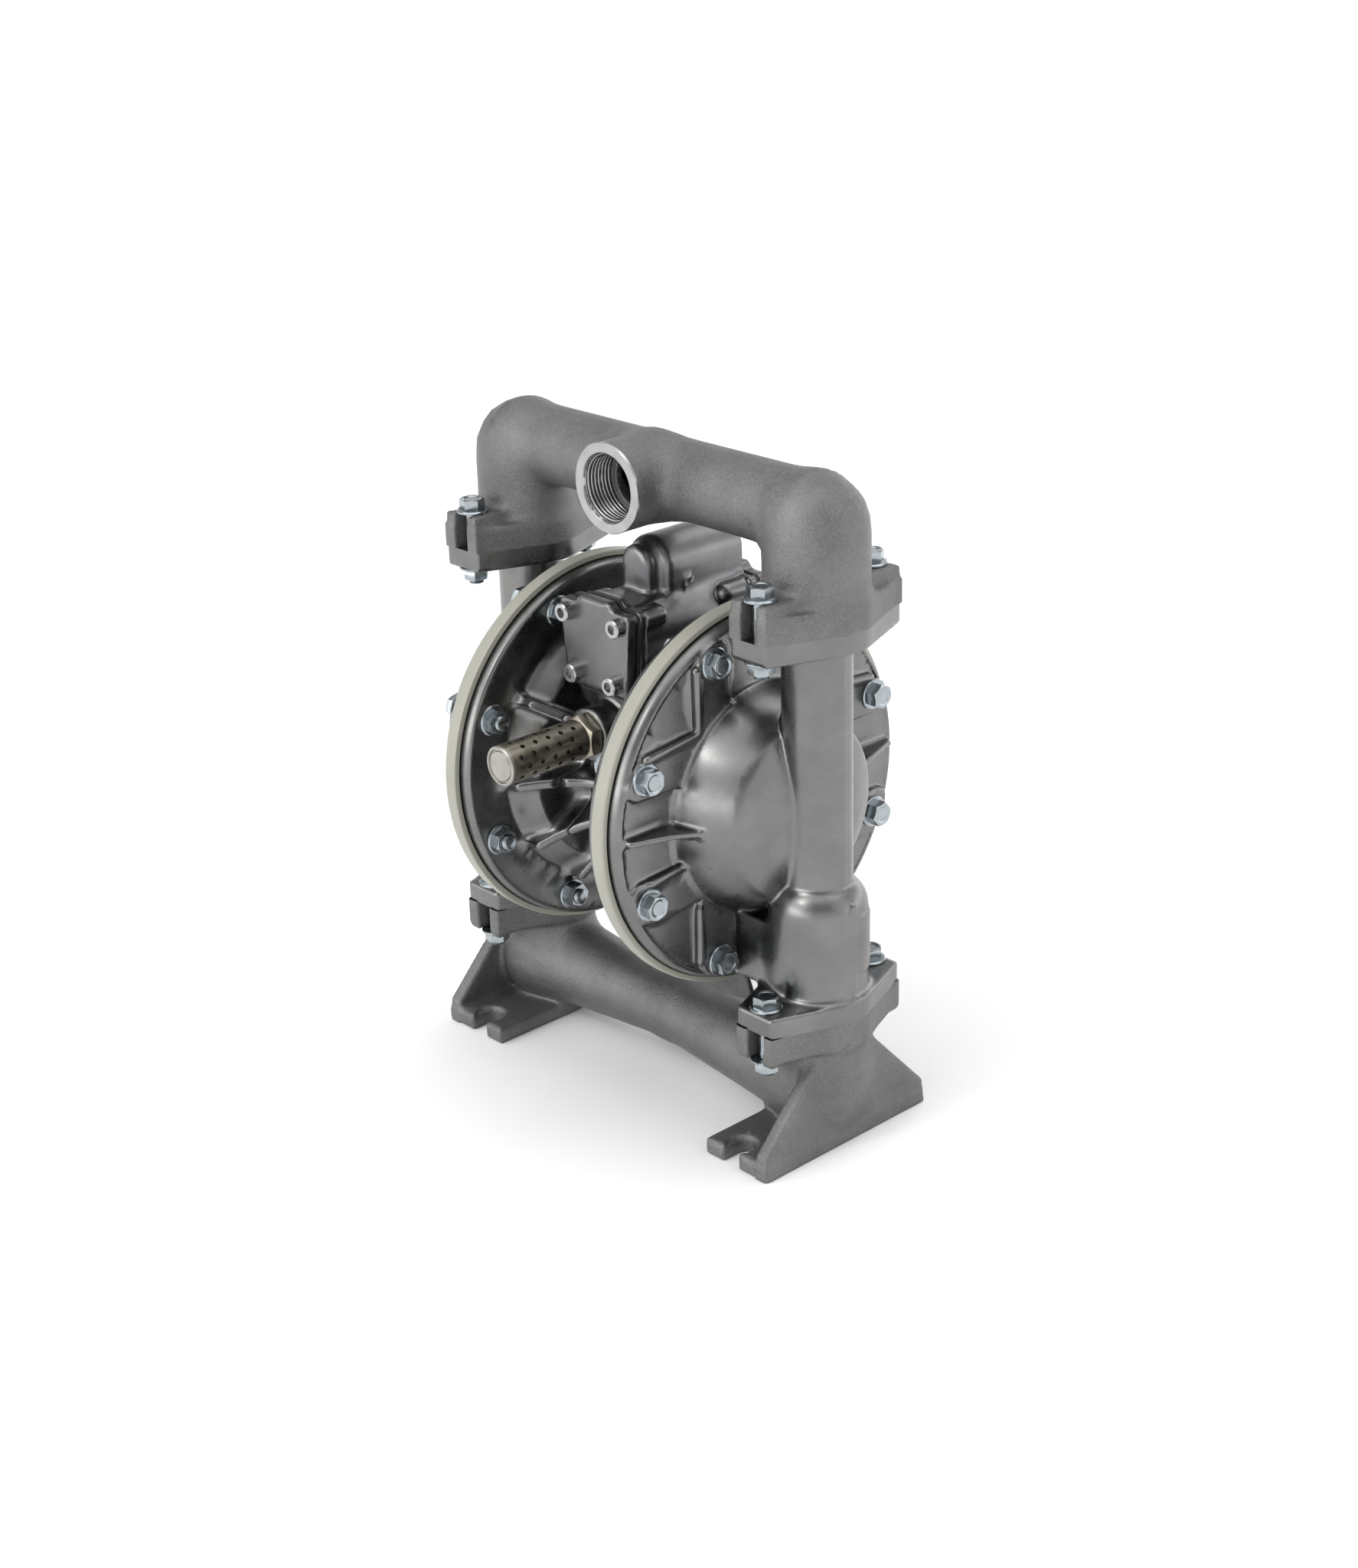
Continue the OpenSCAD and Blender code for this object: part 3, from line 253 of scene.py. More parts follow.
def make_plastic(name, base, roughness, spec=0.5, grain_mm=3.0, dent_mm=0.08, glow=0.0):
    material, tree, place, shader = new_material(name)
    cloud = noise(tree, place, 18, 2)
    shade = colour(base)
    darker = tuple(0.93 * v for v in shade[:3]) + (1.0,)
    tree.links.new(ramp(tree, cloud, [(0.3, darker), (0.7, shade)]), shader.inputs["Base Color"])
    tree.links.new(bump(tree, noise(tree, place, grain_mm), dent_mm, 0.3), shader.inputs["Normal"])
    shader.inputs["Roughness"].default_value = roughness
    shader.inputs["Specular IOR Level"].default_value = spec
    if glow:
        shader.inputs["Subsurface Weight"].default_value = glow
        shader.inputs["Subsurface Radius"].default_value = (0.004, 0.0035, 0.003)
    return material


IVORY = make_plastic("ivory_fluoroplastic", "#9b9a90", 0.42, glow=0.06)
PTFE = make_plastic("white_ptfe", "#e9e8e2", 0.5)
RUBBER = make_plastic("black_nitrile_rubber", "#232325", 0.6, grain_mm=1.0)
# The muffler's porous core is painted near black as painted shade: it only shows through the tube's holes, where shade
# falls.
PAINTED_SHADE_CORE = make_plastic("porous_plastic_painted_shade", "#3b3a37", 0.95, 0.2, 0.6, 0.5)

# %% [markdown]
# ## Castings from distance fields
# A casting is a few simple volumes that melt into each other. Modelling the fillets by hand would take bevels on
# every crease. A distance field gives them for free: each volume is a function that says how far a point is from its
# surface, negative inside, and a soft minimum of two functions is their union with a fillet. The field is sampled
# on a grid, and OpenVDB turns its zero level into a mesh.

# %% Distance helpers


def join(a, b, fillet=0.0):
    """Union of two fields, with a fillet of about that size."""
    if fillet <= 0:
        return np.minimum(a, b)
    h = np.maximum(fillet - np.abs(a - b), 0) / fillet
    return np.minimum(a, b) - h * h * fillet / 4


def common(a, b, fillet=0.0):
    return -join(-a, -b, fillet)


def cut(a, b, fillet=0.0):
    """a with b taken away."""
    return -join(-a, b, fillet)


def between(v, low, high):
    return np.maximum(low - v, v - high)


def rounded(a, b, radius):
    """The corner where fields a and b meet, rounded off: for a plate, its outline and its thickness."""
    p, q = a + radius, b + radius
    return np.minimum(np.maximum(p, q), 0) + np.hypot(np.maximum(p, 0), np.maximum(q, 0)) - radius


def block(x, y, z, low, high, radius=0.0):
    parts = [np.abs(v - (a + b) / 2) - (b - a) / 2 + radius for v, a, b in zip((x, y, z), low, high)]
    outside = np.sqrt(sum(np.maximum(p, 0) ** 2 for p in parts))
    inside = np.minimum(np.maximum(np.maximum(parts[0], parts[1]), parts[2]), 0)
    return outside + inside - radius


def rod(x, y, z, start, end, r0, r1=None):
    """A round bar between two points, whose radius may change along it."""
    r1 = r0 if r1 is None else r1
    d = [b - a for a, b in zip(start, end)]
    t = ((x - start[0]) * d[0] + (y - start[1]) * d[1] + (z - start[2]) * d[2]) / sum(v * v for v in d)
    t = np.clip(t, 0, 1)
    away = np.sqrt((x - start[0] - t * d[0]) ** 2 + (y - start[1] - t * d[1]) ** 2 + (z - start[2] - t * d[2]) ** 2)
    return away - (r0 + t * (r1 - r0))


def grid(low, high, step):
    axes = [np.arange(a, b + step, step, dtype=np.float32) for a, b in zip(low, high)]
    return axes[0][:, None, None], axes[1][None, :, None], axes[2][None, None, :]


# %% From a field to a mesh


def new_object(name, points, faces, material, smooth=True):
    mesh = bpy.data.meshes.new(name)
    mesh.from_pydata([tuple(p) for p in points], [], faces)
    mesh.polygons.foreach_set("use_smooth", [smooth] * len(mesh.polygons))
    mesh.materials.append(material)
    mesh.update()
    piece = bpy.data.objects.new(name, mesh)
    bpy.context.scene.collection.objects.link(piece)
    return piece


def place_piece(piece, nodes=(), body=BODY):
    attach(piece, body)
    if nodes:
        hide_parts(*nodes)
    return piece


def cut_flat(points, faces, level, keep_above):
    """Cuts a mesh at a level and caps it there, so that its edge is sharp."""
    data = bpy.data.meshes.new("cut")
    data.from_pydata([tuple(p) for p in points], [], faces)
    mesh = bmesh.new()
    mesh.from_mesh(data)
    bpy.data.meshes.remove(data)
    parts = bmesh.ops.bisect_plane(mesh, geom=mesh.verts[:] + mesh.edges[:] + mesh.faces[:],
                                   plane_co=(0, 0, level), plane_no=(0, 0, -1 if keep_above else 1), clear_outer=True)
    rim = [part for part in parts["geom_cut"] if isinstance(part, bmesh.types.BMEdge)]
    caps = bmesh.ops.triangle_fill(mesh, edges=rim, use_beauty=True)["geom"]
    for face in caps:
        if isinstance(face, bmesh.types.BMFace):
            face.normal_update()
            if (face.normal.z > 0) == keep_above:
                face.normal_flip()
    mesh.verts.index_update()
    points = np.array([tuple(v.co) for v in mesh.verts])
    faces = [tuple(v.index for v in face.verts) for face in mesh.faces]
    mesh.free()
    return points, faces


def corner_normals(points, faces, normals, levels):
    """One normal for each corner of each face: straight up or down on the caps."""
    rows = []
    for face in faces:
        cap = [above for level, above in levels if all(abs(points[i][2] - level) < 1e-3 for i in face)]
        rows += [(0.0, 0.0, -1.0 if cap[0] else 1.0)] * len(face) if cap else [normals[i] for i in face]
    return rows


def mesh_of_field(name, field, low, high, step, material, adaptivity=0.12, flip_x=False, levels=()):
    """Samples a field on a grid and returns its surface as an object, cut flat at each (level, keep above)."""
    x, y, z = grid(low, high, step)
    values = np.broadcast_to(field(x, y, z), (x.size, y.size, z.size)).astype(np.float32)
    values = np.clip(values, -3 * step, 3 * step)
    volume = openvdb.FloatGrid(background=3 * step)
    volume.copyFromArray(values)
    points, triangles, quads = volume.convertToPolygons(isovalue=0.0, adaptivity=adaptivity)
    normals = slopes(values, points)
    points = points * step + np.array(low)
    faces = [tuple(f) for f in triangles.tolist()] + [tuple(f) for f in quads.tolist()]
    sample = np.array([face[:3] for face in faces[::50]])
    a, b, c = (points[sample[:, i]] for i in range(3))
    if np.sum(np.cross(b - a, c - a) * normals[sample[:, 0]]) < 0:
        faces = [face[::-1] for face in faces]
    for level, keep_above in levels:
        points, faces = cut_flat(points, faces, level, keep_above)
    normals = slopes(values, (points - np.array(low)) / step)
    if flip_x:
        points[:, 0] *= -1
        normals[:, 0] *= -1
        faces = [f[::-1] for f in faces]
    piece = new_object(name, points * MM, faces, material)
    piece.data.normals_split_custom_set(corner_normals(points, faces, normals.tolist(), levels))
    print(name, len(points), "points,", sum(len(f) - 2 for f in faces), "triangles")
    return piece


def slopes(values, index):
    """Direction in which the field grows at each point, read between the grid's samples."""
    low = np.clip(np.floor(index).astype(int), 1, np.array(values.shape) - 3)
    part = index - low
    total = np.zeros((len(index), 3))
    for dx in (0, 1):
        for dy in (0, 1):
            for dz in (0, 1):
                corner = low + (dx, dy, dz)
                share = (np.abs(1 - dx - part[:, 0]) * np.abs(1 - dy - part[:, 1]) * np.abs(1 - dz - part[:, 2]))
                for axis in range(3):
                    ahead, behind = corner.copy(), corner.copy()
                    ahead[:, axis] += 1
                    behind[:, axis] -= 1
                    total[:, axis] += share * (values[tuple(ahead.T)] - values[tuple(behind.T)])
    return total / np.maximum(np.linalg.norm(total, axis=1, keepdims=True), 1e-9)


# %% [markdown]
# ## Sizes shared by the castings
# These follow the CAD model: the columns stand at the ends of the rod's line, the two joints are where manifolds
# and chambers are bolted together, and the tube lies on top.

# %% Shared sizes
COLUMN_X = 109.5
LOW_JOINT = 75.5
HIGH_JOINT = 286.0
ROD_Z = 180.75
TUBE_R = 20.7
TUBE_Z = 339.3
LEG_R = 26.8
ELBOW_Z = 333.2
FLANGE_R = 28.5
LUG_HALF = 12.25
OUTER_HALF = 28.4
LUG_REACH = 47.0
BOLT_Y = 38.5
PORT_R = 16.65
PORT_FACE_R = 24.0
PORT_FACE_Y = 38.0
ARM_Z = 31.0
CAGE_R = 22.1
RIM_OUT = 60.2  # the diaphragm's rim lies between the two flanges, from RIM_IN to RIM_OUT
RIM_IN = 56.2
AIR_BACK = 47.2  # the back of the air chamber's flange, where its nuts sit
SHELF_Z = 231.75  # the top of the shelf that carries the valve
EXHAUST_Z = 211.75
EXHAUST_Y = -57.0  # the face of the exhaust's boss


def joint_outline(u, v):
    """The outline at every joint, seen from above: a round flange drawn out to two lugs along v."""
    v = np.abs(v)
    u = np.abs(u)
    corner = math.atan2(LUG_REACH, LUG_HALF)
    turn = corner - math.acos(FLANGE_R / math.hypot(LUG_REACH, LUG_HALF))
    straight = u * math.cos(turn) + v * math.sin(turn) - FLANGE_R
    round_part = np.hypot(u, v) - FLANGE_R
    side = np.where(v * math.cos(turn) > u * math.sin(turn), straight, round_part)
    return np.maximum(side, v - LUG_REACH)


def lug_outline(u, v):
    return np.maximum(np.abs(u) - LUG_HALF, np.abs(v) - LUG_REACH)


def slot_outline(u, v, half_width=4.9):
    """The open slots for the flange bolts, from the bolt out through the lug's end."""
    return np.hypot(u, np.minimum(np.abs(v) - BOLT_Y, 0)) - half_width


# %% [markdown]
# ## The discharge manifold
# One sand casting: a tube across the top, an elbow and a leg at each end, lugs for the flange bolts and the boss of
# the outlet port. The legs are thicker than the tube because they hold the ball cages. A soft union between tube,
# elbow and boss gives the rounded crease that a wooden pattern leaves.

# %% Discharge manifold


def discharge_field(x, y, z):
    u = np.abs(x) - COLUMN_X
    tube = common(np.hypot(y, z - TUBE_Z) - TUBE_R, u, 1.0)
    leg = rod(u, y, z, (0, 0, HIGH_JOINT - 30), (0, 0, ELBOW_Z), LEG_R)
    body = join(tube, leg, 7.0)
    boss = rod(x, y, z, (0, -PORT_FACE_Y - 10, TUBE_Z), (0, -8, TUBE_Z), PORT_FACE_R - 0.4, TUBE_R + 2.6)
    body = join(body, np.maximum(boss, y - 0), 9.0)
    base = rounded(joint_outline(u, y), between(z, HIGH_JOINT - 6, HIGH_JOINT + 13.5), 2.0)
    lugs = rounded(lug_outline(u, y), between(z, HIGH_JOINT - 6, HIGH_JOINT + 19.5), 1.2)
    body = join(body, join(base, lugs, 3.5), 5.0)
    body = np.maximum(body, -PORT_FACE_Y - y - (np.abs(x) > 40) * 99)
    body = np.maximum(body, u - OUTER_HALF)
    body = cut(body, slot_outline(u, y), 0.8)
    bore = np.hypot(y, z - TUBE_Z) - 14
    bore = join(np.maximum(bore, u), rod(u, y, z, (0, 0, HIGH_JOINT - 5), (0, 0, TUBE_Z), 14))
    cage = np.maximum(np.hypot(u, y) - CAGE_R, z - HIGH_JOINT - 41)
    mouth = np.maximum(np.hypot(x, z - TUBE_Z) - PORT_R - 0.9, y + PORT_FACE_Y - 19)
    throat = np.maximum(np.hypot(x, z - TUBE_Z) - 14, y)
    return cut(body, join(join(bore, cage), join(mouth, throat)))


def make_discharge_manifold():
    piece = mesh_of_field("discharge_manifold_casting", discharge_field, (-140, -50, 283), (140, 50, 363), 1.25,
                          SAND_CAST, levels=[(HIGH_JOINT, True)])
    place_piece(piece, ["discharge_manifold"])


make_discharge_manifold()

# %% Suction manifold


def suction_field(x, y, z):
    u = np.abs(x) - COLUMN_X
    ax = np.abs(x)
    ay = np.abs(y)
    arm = rod(ax, y, z, (0, 0, ARM_Z), (COLUMN_X, 0, ARM_Z), 17, LEG_R)
    leg = rod(u, y, z, (0, 0, ARM_Z), (0, 0, LOW_JOINT + 20), LEG_R)
    body = join(arm, leg, 8.0)
    boss = rod(x, y, z, (0, 4, ARM_Z), (0, PORT_FACE_Y + 10, ARM_Z), 18.5, PORT_FACE_R - 0.4)
    body = join(body, boss, 8.0)
    web_side = (ay - 59.8) * 0.727 + (z - 13.5) * 0.687
    web = rounded(np.maximum(web_side, ay - 59.8), between(ax, 121.3, 129.8), 2.2)
    web = np.maximum(web, between(z, -8, 62))
    plate = rounded(np.maximum(between(ax, 84.6, 129.8), ay - 60.2), between(z, -9.6, 9.6), 2.6)
    foot = join(web, plate, 2.5)
    pedestal = np.maximum(between(ax, 86, 124), np.maximum(ay - 14, z - ARM_Z))
    body = join(body, join(foot, pedestal, 4.0), 4.0)
    base = rounded(joint_outline(u, y), between(z, LOW_JOINT - 15.5, LOW_JOINT + 8), 2.0)
    lugs = rounded(lug_outline(u, y), between(z, LOW_JOINT - 17.5, LOW_JOINT + 8), 1.2)
    body = join(body, join(base, lugs, 4.0), 4.0)
    body = np.maximum(body, y - PORT_FACE_Y - (ax > 40) * 99)
    body = np.maximum(body, u - OUTER_HALF)
    body = cut(body, np.maximum(slot_outline(u, y), LOW_JOINT - 24 - z), 0.8)
    hole_u, hole_v = ax - 103.6, ay - 49
    slots = np.hypot(hole_u, np.minimum(hole_v, 0)) - 5.5
    spot = np.maximum(np.hypot(hole_u, hole_v - 2.5) - 8.8, 8.0 - z)
    body = cut(body, np.maximum(join(slots, spot), z - 30), 0.8)
    bore = rod(ax, y, z, (0, 0, ARM_Z), (COLUMN_X, 0, ARM_Z), 13)
    bore = join(bore, rod(u, y, z, (0, 0, ARM_Z), (0, 0, LOW_JOINT + 9), 17.8))
    seat = np.maximum(np.hypot(u, y) - CAGE_R, LOW_JOINT - 4 - z)
    mouth = np.maximum(np.hypot(x, z - ARM_Z) - PORT_R - 0.9, PORT_FACE_Y - 19 - y)
    throat = np.maximum(np.hypot(x, z - ARM_Z) - 13, -y)
    body = cut(body, join(join(bore, seat), join(mouth, throat)))
    return np.maximum(body, -z)


def make_suction_manifold():
    piece = mesh_of_field("suction_manifold_casting", suction_field, (-140, -63, -2), (140, 63, 78), 1.25, SAND_CAST,
                          levels=[(LOW_JOINT, False)])
    place_piece(piece, ["suction_manifold"])


make_suction_manifold()

# %% [markdown]
# ## The liquid chambers
# The outer castings are the eye-catchers: a flange with eight bolts on raised pads, a round dome over the diaphragm,
# a column that carries the liquid up, and a bell over the suction ball. The dome is turned about the rod: its side
# slopes in from the flange to a crease, and above the crease lies a flatter crown. The upright column comes out of
# the crown at its widest, so the two meet in a fine line.

# %% Dome of the liquid chamber
FLANGE_FACE = 70.2
PLATEAU_X = 71.2
POCKET_X = 68.0
DOME_R = 61.4
CREASE_R = 48.6
CREASE_X = 99.8
CROWN_H = 12.0


def dome_field(x, r, inset=0.0):
    """The dome, or with an inset the hollow behind it."""
    crease_x = CREASE_X - inset / 2
    share = (x - FLANGE_FACE) / (crease_x - FLANGE_FACE)
    bulge = 4 * np.clip(share, 0, 1) * (1 - np.clip(share, 0, 1))
    side = (r - (DOME_R - inset) + share * (DOME_R - CREASE_R) - 0.9 * bulge) * 0.92
    out = np.minimum(r / (CREASE_R - inset), 1.3)
    crown = CROWN_H - inset / 2
    top = (x - crease_x - crown * (1 - out ** 2.2)) / np.sqrt(1 + (2.2 * crown / CREASE_R * out ** 1.2) ** 2)
    return common(side, top, 1.6)


# %% Flange of the liquid chamber
CHAMBER_BOLT_R = 88.5
BOLT_ANGLES = [math.radians(22.5 + 45 * k) for k in range(8)]


def pad_outline(r, side, far):
    """A raised pad between two straight sides, its outer end rounded off round the bolt."""
    end = r - 97.6
    return np.maximum(rounded(side, end, 10.0), rounded(far, end, 10.0))


def flange_field(x, y, z):
    v = z - ROD_Z
    r = np.hypot(y, v)
    ay = np.abs(y)
    disc = rounded(r - 100.3, between(x, RIM_IN, FLANGE_FACE), 6.5)
    disc = cut(disc, np.maximum(r - 96, POCKET_X - x), 1.2)
    upper = pad_outline(r, v - 44.5 + (ay - 70) * 0.14, 22.5 - v)
    lower = pad_outline(r, v + 21.5, -46.5 - (ay - 70) * 0.1 - v)
    top = np.maximum(pad_outline(r, ay - 45.5, 22 - ay), 40 - v)
    bottom = np.maximum(pad_outline(r, ay - 47.5, 22 - ay), v + 40)
    pads = np.minimum(np.minimum(upper, lower), np.minimum(top, bottom))
    pads = rounded(pads, between(x, 62, PLATEAU_X), 1.3)
    return join(disc, pads, 1.6)


def ridge(y, v, x, start, end, height, width=1.7):
    """A raised bead on the face between two points (y, height above the rod)."""
    return rod(x, np.abs(y), v, (PLATEAU_X - 0.4, *start), (PLATEAU_X - 0.4, *end), width, height)


def liquid_field(x, y, z):
    u = x - COLUMN_X
    v = z - ROD_Z
    ay = np.abs(y)
    r = np.hypot(y, v)
    body = flange_field(x, y, z)
    beads = join(ridge(y, v, x, (45.5, 47.5), (45.5, 80), 2.4), ridge(y, v, x, (45.5, 47.5), (80, 43.5), 2.4))
    beads = join(beads, ridge(y, v, x, (47.5, -49), (47.5, -78), 2.4))
    beads = join(beads, ridge(y, v, x, (58, -20.5), (80, -23.5), 2.2))
    body = join(body, beads, 2.4)
    body = join(body, dome_field(x, r), 2.4)
    fin_top = (x - 71) - np.clip((100 - ay) * 0.36, 0, 10.5) - np.clip(70 - ay, 0, 30) * 0.25
    fin = common(fin_top * 0.9, np.abs(v - 2.5 + (ay < 71) * (71 - ay) * 0.16) - 1.7, 1.6)
    fin = np.maximum(fin, between(ay, 36, 94.5))
    body = join(body, np.maximum(fin, RIM_OUT - x), 2.6)
    column = rod(u, y, z, (0, 0, LOW_JOINT - 30), (0, 0, HIGH_JOINT + 30), 18)
    body = join(body, column, 2.2)
    bell = rounded(np.hypot(u, y) - 25.8, z - 149, 17.0)
    neck = np.maximum(np.abs(y) - 20.5, between(z, LOW_JOINT + 10, 122))
    neck = common(neck, between(x, 62, COLUMN_X), 1.0)
    bell = join(bell, neck, 5.0)
    body = join(body, bell, 1.8)
    parting = np.maximum(np.abs(y) - 1.1, between(z, LOW_JOINT, HIGH_JOINT))
    proud = np.where(z > 140, np.hypot(u, y) - 18.5, np.hypot(u, y) - 26.4)
    body = join(body, np.maximum(np.maximum(parting, proud), -u), 0.8)
    pad = block(u, y, z, (16, 3.5, 99), (26.6, 15.5, 132), 1.0)
    pad = np.maximum(pad, np.hypot(u, y) - 26.9)
    body = join(body, pad, 1.0)
    lugs_low = rounded(joint_outline(u, y), between(z, LOW_JOINT - 6, LOW_JOINT + 10.8), 1.2)
    lugs_high = rounded(joint_outline(u, y), between(z, HIGH_JOINT - 10.8, HIGH_JOINT + 6), 1.2)
    body = join(body, lugs_low, 4.5)
    body = join(body, lugs_high, 3.0)
    body = np.maximum(body, RIM_OUT - x)
    body = np.maximum(body, u - OUTER_HALF)
    hollow = dome_field(x, r, 4.5)
    disc_room = np.maximum(r - 77.5 + np.maximum(x - RIM_OUT, 0) * 3.1, x - 67.5)
    passage = np.hypot(u, y) - 12.5
    duct = block(x, y, z, (66, -11, 150), (COLUMN_X, 11, 211), 2.0)
    cage = np.maximum(np.hypot(u, y) - CAGE_R, z - LOW_JOINT - 41)
    seat = np.maximum(np.hypot(u, y) - CAGE_R, HIGH_JOINT - 4 - z)
    holes = join(join(hollow, disc_room), join(passage, duct))
    return cut(body, join(holes, join(cage, seat)))


def make_liquid_chambers():
    low, high = (57, -104, 72), (140, 104, 289)
    for side, flip in (("right", False), ("left", True)):
        piece = mesh_of_field(side + "_liquid_chamber_casting", liquid_field, low, high, 1.15, DIE_CAST, 0.03, flip,
                              [(LOW_JOINT, True), (HIGH_JOINT, False)])
        place_piece(piece, [side + "_liquid_chamber"])


make_liquid_chambers()

# %% [markdown]
# ## The air side
# Behind each diaphragm sits a dished casting with a flat flange, and between the two dishes the centre body carries
# the rod, the air valve and the muffler. Thin fins run from dish to dish and stiffen them: their outer edge sweeps
# in an arc, low in the middle and high at the dishes.

# %% Air chambers and centre body
FIN_ANGLES = [math.radians(a) for a in (-148, -178, 148, -118, -90, -62, -32, -2, 32)]
BODY_HALF_X = 24.0


def fins_field(x, y, z):
    """Plates through the rod's line, their edge an arc from dish to dish."""
    v = z - ROD_Z
    r = np.hypot(y, v)
    edge = 48 + 30 * (np.minimum(np.abs(x), 34) / 34) ** 2
    total = None
    for angle in FIN_ANGLES:
        off = -y * math.sin(angle) + v * math.cos(angle)
        along = y * math.cos(angle) + v * math.sin(angle)
        plate = np.maximum(np.abs(off) - 2.7, -along)
        total = plate if total is None else np.minimum(total, plate)
    return common(total, (r - edge) * 0.8, 2.6)


def dish_field(x, y, z):
    v = z - ROD_Z
    r = np.hypot(y, v)
    flange = rounded(r - 100.4, between(x, AIR_BACK, RIM_IN + 10), 2.4)
    back = between(x, 32.7, 60)
    slope = 33 + np.clip(r - 64, 0, 12) * 1.25 - x
    dish = common(np.maximum(r - 84, back), slope * 0.7, 4.0)
    hub = np.maximum(r - 38, BODY_HALF_X - x)
    body = join(flange, join(dish, hub, 14.0), 4.0)
    fins = np.maximum(fins_field(x, y, z), x - 50)
    body = join(body, fins, 6.0)
    body = np.maximum(body, x - RIM_IN)
    body = np.maximum(body, BODY_HALF_X - x)
    inner = np.maximum(r - 65 - np.maximum(x - 44, 0) * 0.9, 38.2 - x)
    inner = join(inner, np.maximum(r - 14.5, x - 40))
    return cut(body, np.maximum(inner, r - 77))


def centre_field(x, y, z):
    v = z - ROD_Z
    r = np.hypot(y, v)
    body = r - 36
    block_part = block(x, y, z, (-11, -34, ROD_Z), (11, 34, 230), 3.0)
    shelf = block(x, y, z, (-30, -38.5, 221), (30, 38.5, 240), 3.0)
    fan = common(np.abs(y) - 38.5 - (z - 222) * 0.4, between(z, 205, SHELF_Z), 3.0)
    fan = common(fan, np.abs(x) - 11 - np.clip(z - 205, 0, 18) * 0.75, 3.0)
    body = join(join(body, block_part, 6.0), join(shelf, fan, 6.0), 6.0)
    body = join(body, fins_field(x, y, z), 5.0)
    boss = np.maximum(np.hypot(x, z - EXHAUST_Z) - 14.2, between(y, EXHAUST_Y, 0))
    body = join(body, boss, 5.0)
    body = np.maximum(body, z - SHELF_Z)
    body = np.maximum(body, np.abs(x) - BODY_HALF_X)
    bore = np.maximum(np.hypot(x, z - EXHAUST_Z) - 8.4, y + 45)
    body = cut(body, bore)
    body = cut(body, r - 12.2)
    return np.maximum(body, EXHAUST_Y - y)


def make_air_side():
    for side, flip in (("right", False), ("left", True)):
        piece = mesh_of_field(side + "_air_chamber_casting", dish_field, (22, -104, 76), (58, 104, 284), 1.15, DIE_CAST,
                              0.03, flip)
        place_piece(piece, [side + "_air_chamber"])
    piece = mesh_of_field("centre_body_casting", centre_field, (-26, -84, 98), (26, 84, 234), 1.1, DIE_CAST, 0.03)
    place_piece(piece, ["centre_body"])


make_air_side()

# %% [markdown]
# ## The air valve
# The valve's body is a barrel with a loaf of metal on top, where the compressed air comes in from behind. Round
# bosses run along its upper corners to take the cap screws.

# %% Valve body
VALVE_Z = 233.25
VALVE_END = 41.5


def cap_shape(x, z):
    """The end cap's outline: it tapers down, its upper corners are rounded and its top is raised."""
    w = z - VALVE_Z
    ax = np.abs(x)
    taper = (ax - 22.5 - (w - 2) * 0.125) * 0.99
    main = common(common(taper, between(w, 0.6, 46.5), 4.0), ax - 27, 4.0)
    top = rounded(ax - 12.5, between(w, 10, 50.4), 3.0)
    return join(main, top, 4.0)


def valve_field(x, y, z):
    w = z - VALVE_Z
    ax, ay = np.abs(x), np.abs(y)
    barrel = np.hypot(x, w - 25) - 22.5
    barrel = join(barrel, block(x, y, z, (-22, -60, VALVE_Z - 8), (22, 60, VALVE_Z + 22), 3.0), 3.0)
    saddle = block(x, y, z, (-17, -60, VALVE_Z + 20), (17, 60, VALVE_Z + 47), 5.0)
    body = join(barrel, saddle, 4.0)
    ends = rounded(cap_shape(x, z), 36.5 - ay, 1.0)
    body = join(body, ends, 2.5)
    boss = np.maximum(np.hypot(ax - 19.5, w - 40) - 5.8, 23 - ay)
    boss = join(boss, np.hypot(np.hypot(ax - 19.5, w - 40), np.minimum(ay - 24, 0)) - 5.8)
    body = join(body, boss, 1.5)
    loaf = join(np.hypot(x, w - 60) - 15.6, np.maximum(ax - 15.6, between(w, 30, 60)))
    loaf = common(loaf, -12.5 - y, 4.5)
    nose = join(np.hypot(x + 0.5, w - 62) - 10.5, np.maximum(np.abs(x + 0.5) - 10.5, between(w, 30, 62)))
    nose = common(nose, -21.5 - y, 5.0)
    body = join(body, join(loaf, nose, 4.0), 3.0)
    mark = np.maximum(np.hypot(y - 1.7, z - 283.7) - 3.2, ax - 16.1)
    dot = np.maximum(np.hypot(y - 1.7, z - 283.7) - 2.0, 15.7 - ax)
    body = cut(join(body, mark, 0.5), dot, 0.5)
    body = np.maximum(body, ay - VALVE_END)
    body = np.maximum(body, -w)
    port = np.maximum(np.hypot(x, w - 62) - 8.5, 27 - y)
    bore = np.hypot(x, w - 25) - 15.1
    return cut(body, join(port, bore))


def make_valve_body():
    piece = mesh_of_field("valve_body_casting", valve_field, (-30, -44, 230), (30, 44, 313), 0.8, VALVE_CAST, 0.15)
    place_piece(piece, ["valve_body"])


def make_valve_caps():
    def cap_field(x, y, z):
        return rounded(cap_shape(x, z), between(y, -50, -43), 0.9)

    front = mesh_of_field("front_valve_cap_casting", cap_field, (-30, -53, 230), (30, -40, 288), 0.6, VALVE_CAST, 0.15)
    place_piece(front, ["front_valve_cap"])

    def rear_field(x, y, z):
        return cap_field(x, -y, z)

    rear = mesh_of_field("rear_valve_cap_casting", rear_field, (-30, 40, 230), (30, 53, 288), 0.6, VALVE_CAST, 0.15)
    place_piece(rear, ["rear_valve_cap"])


make_valve_body()
make_valve_caps()

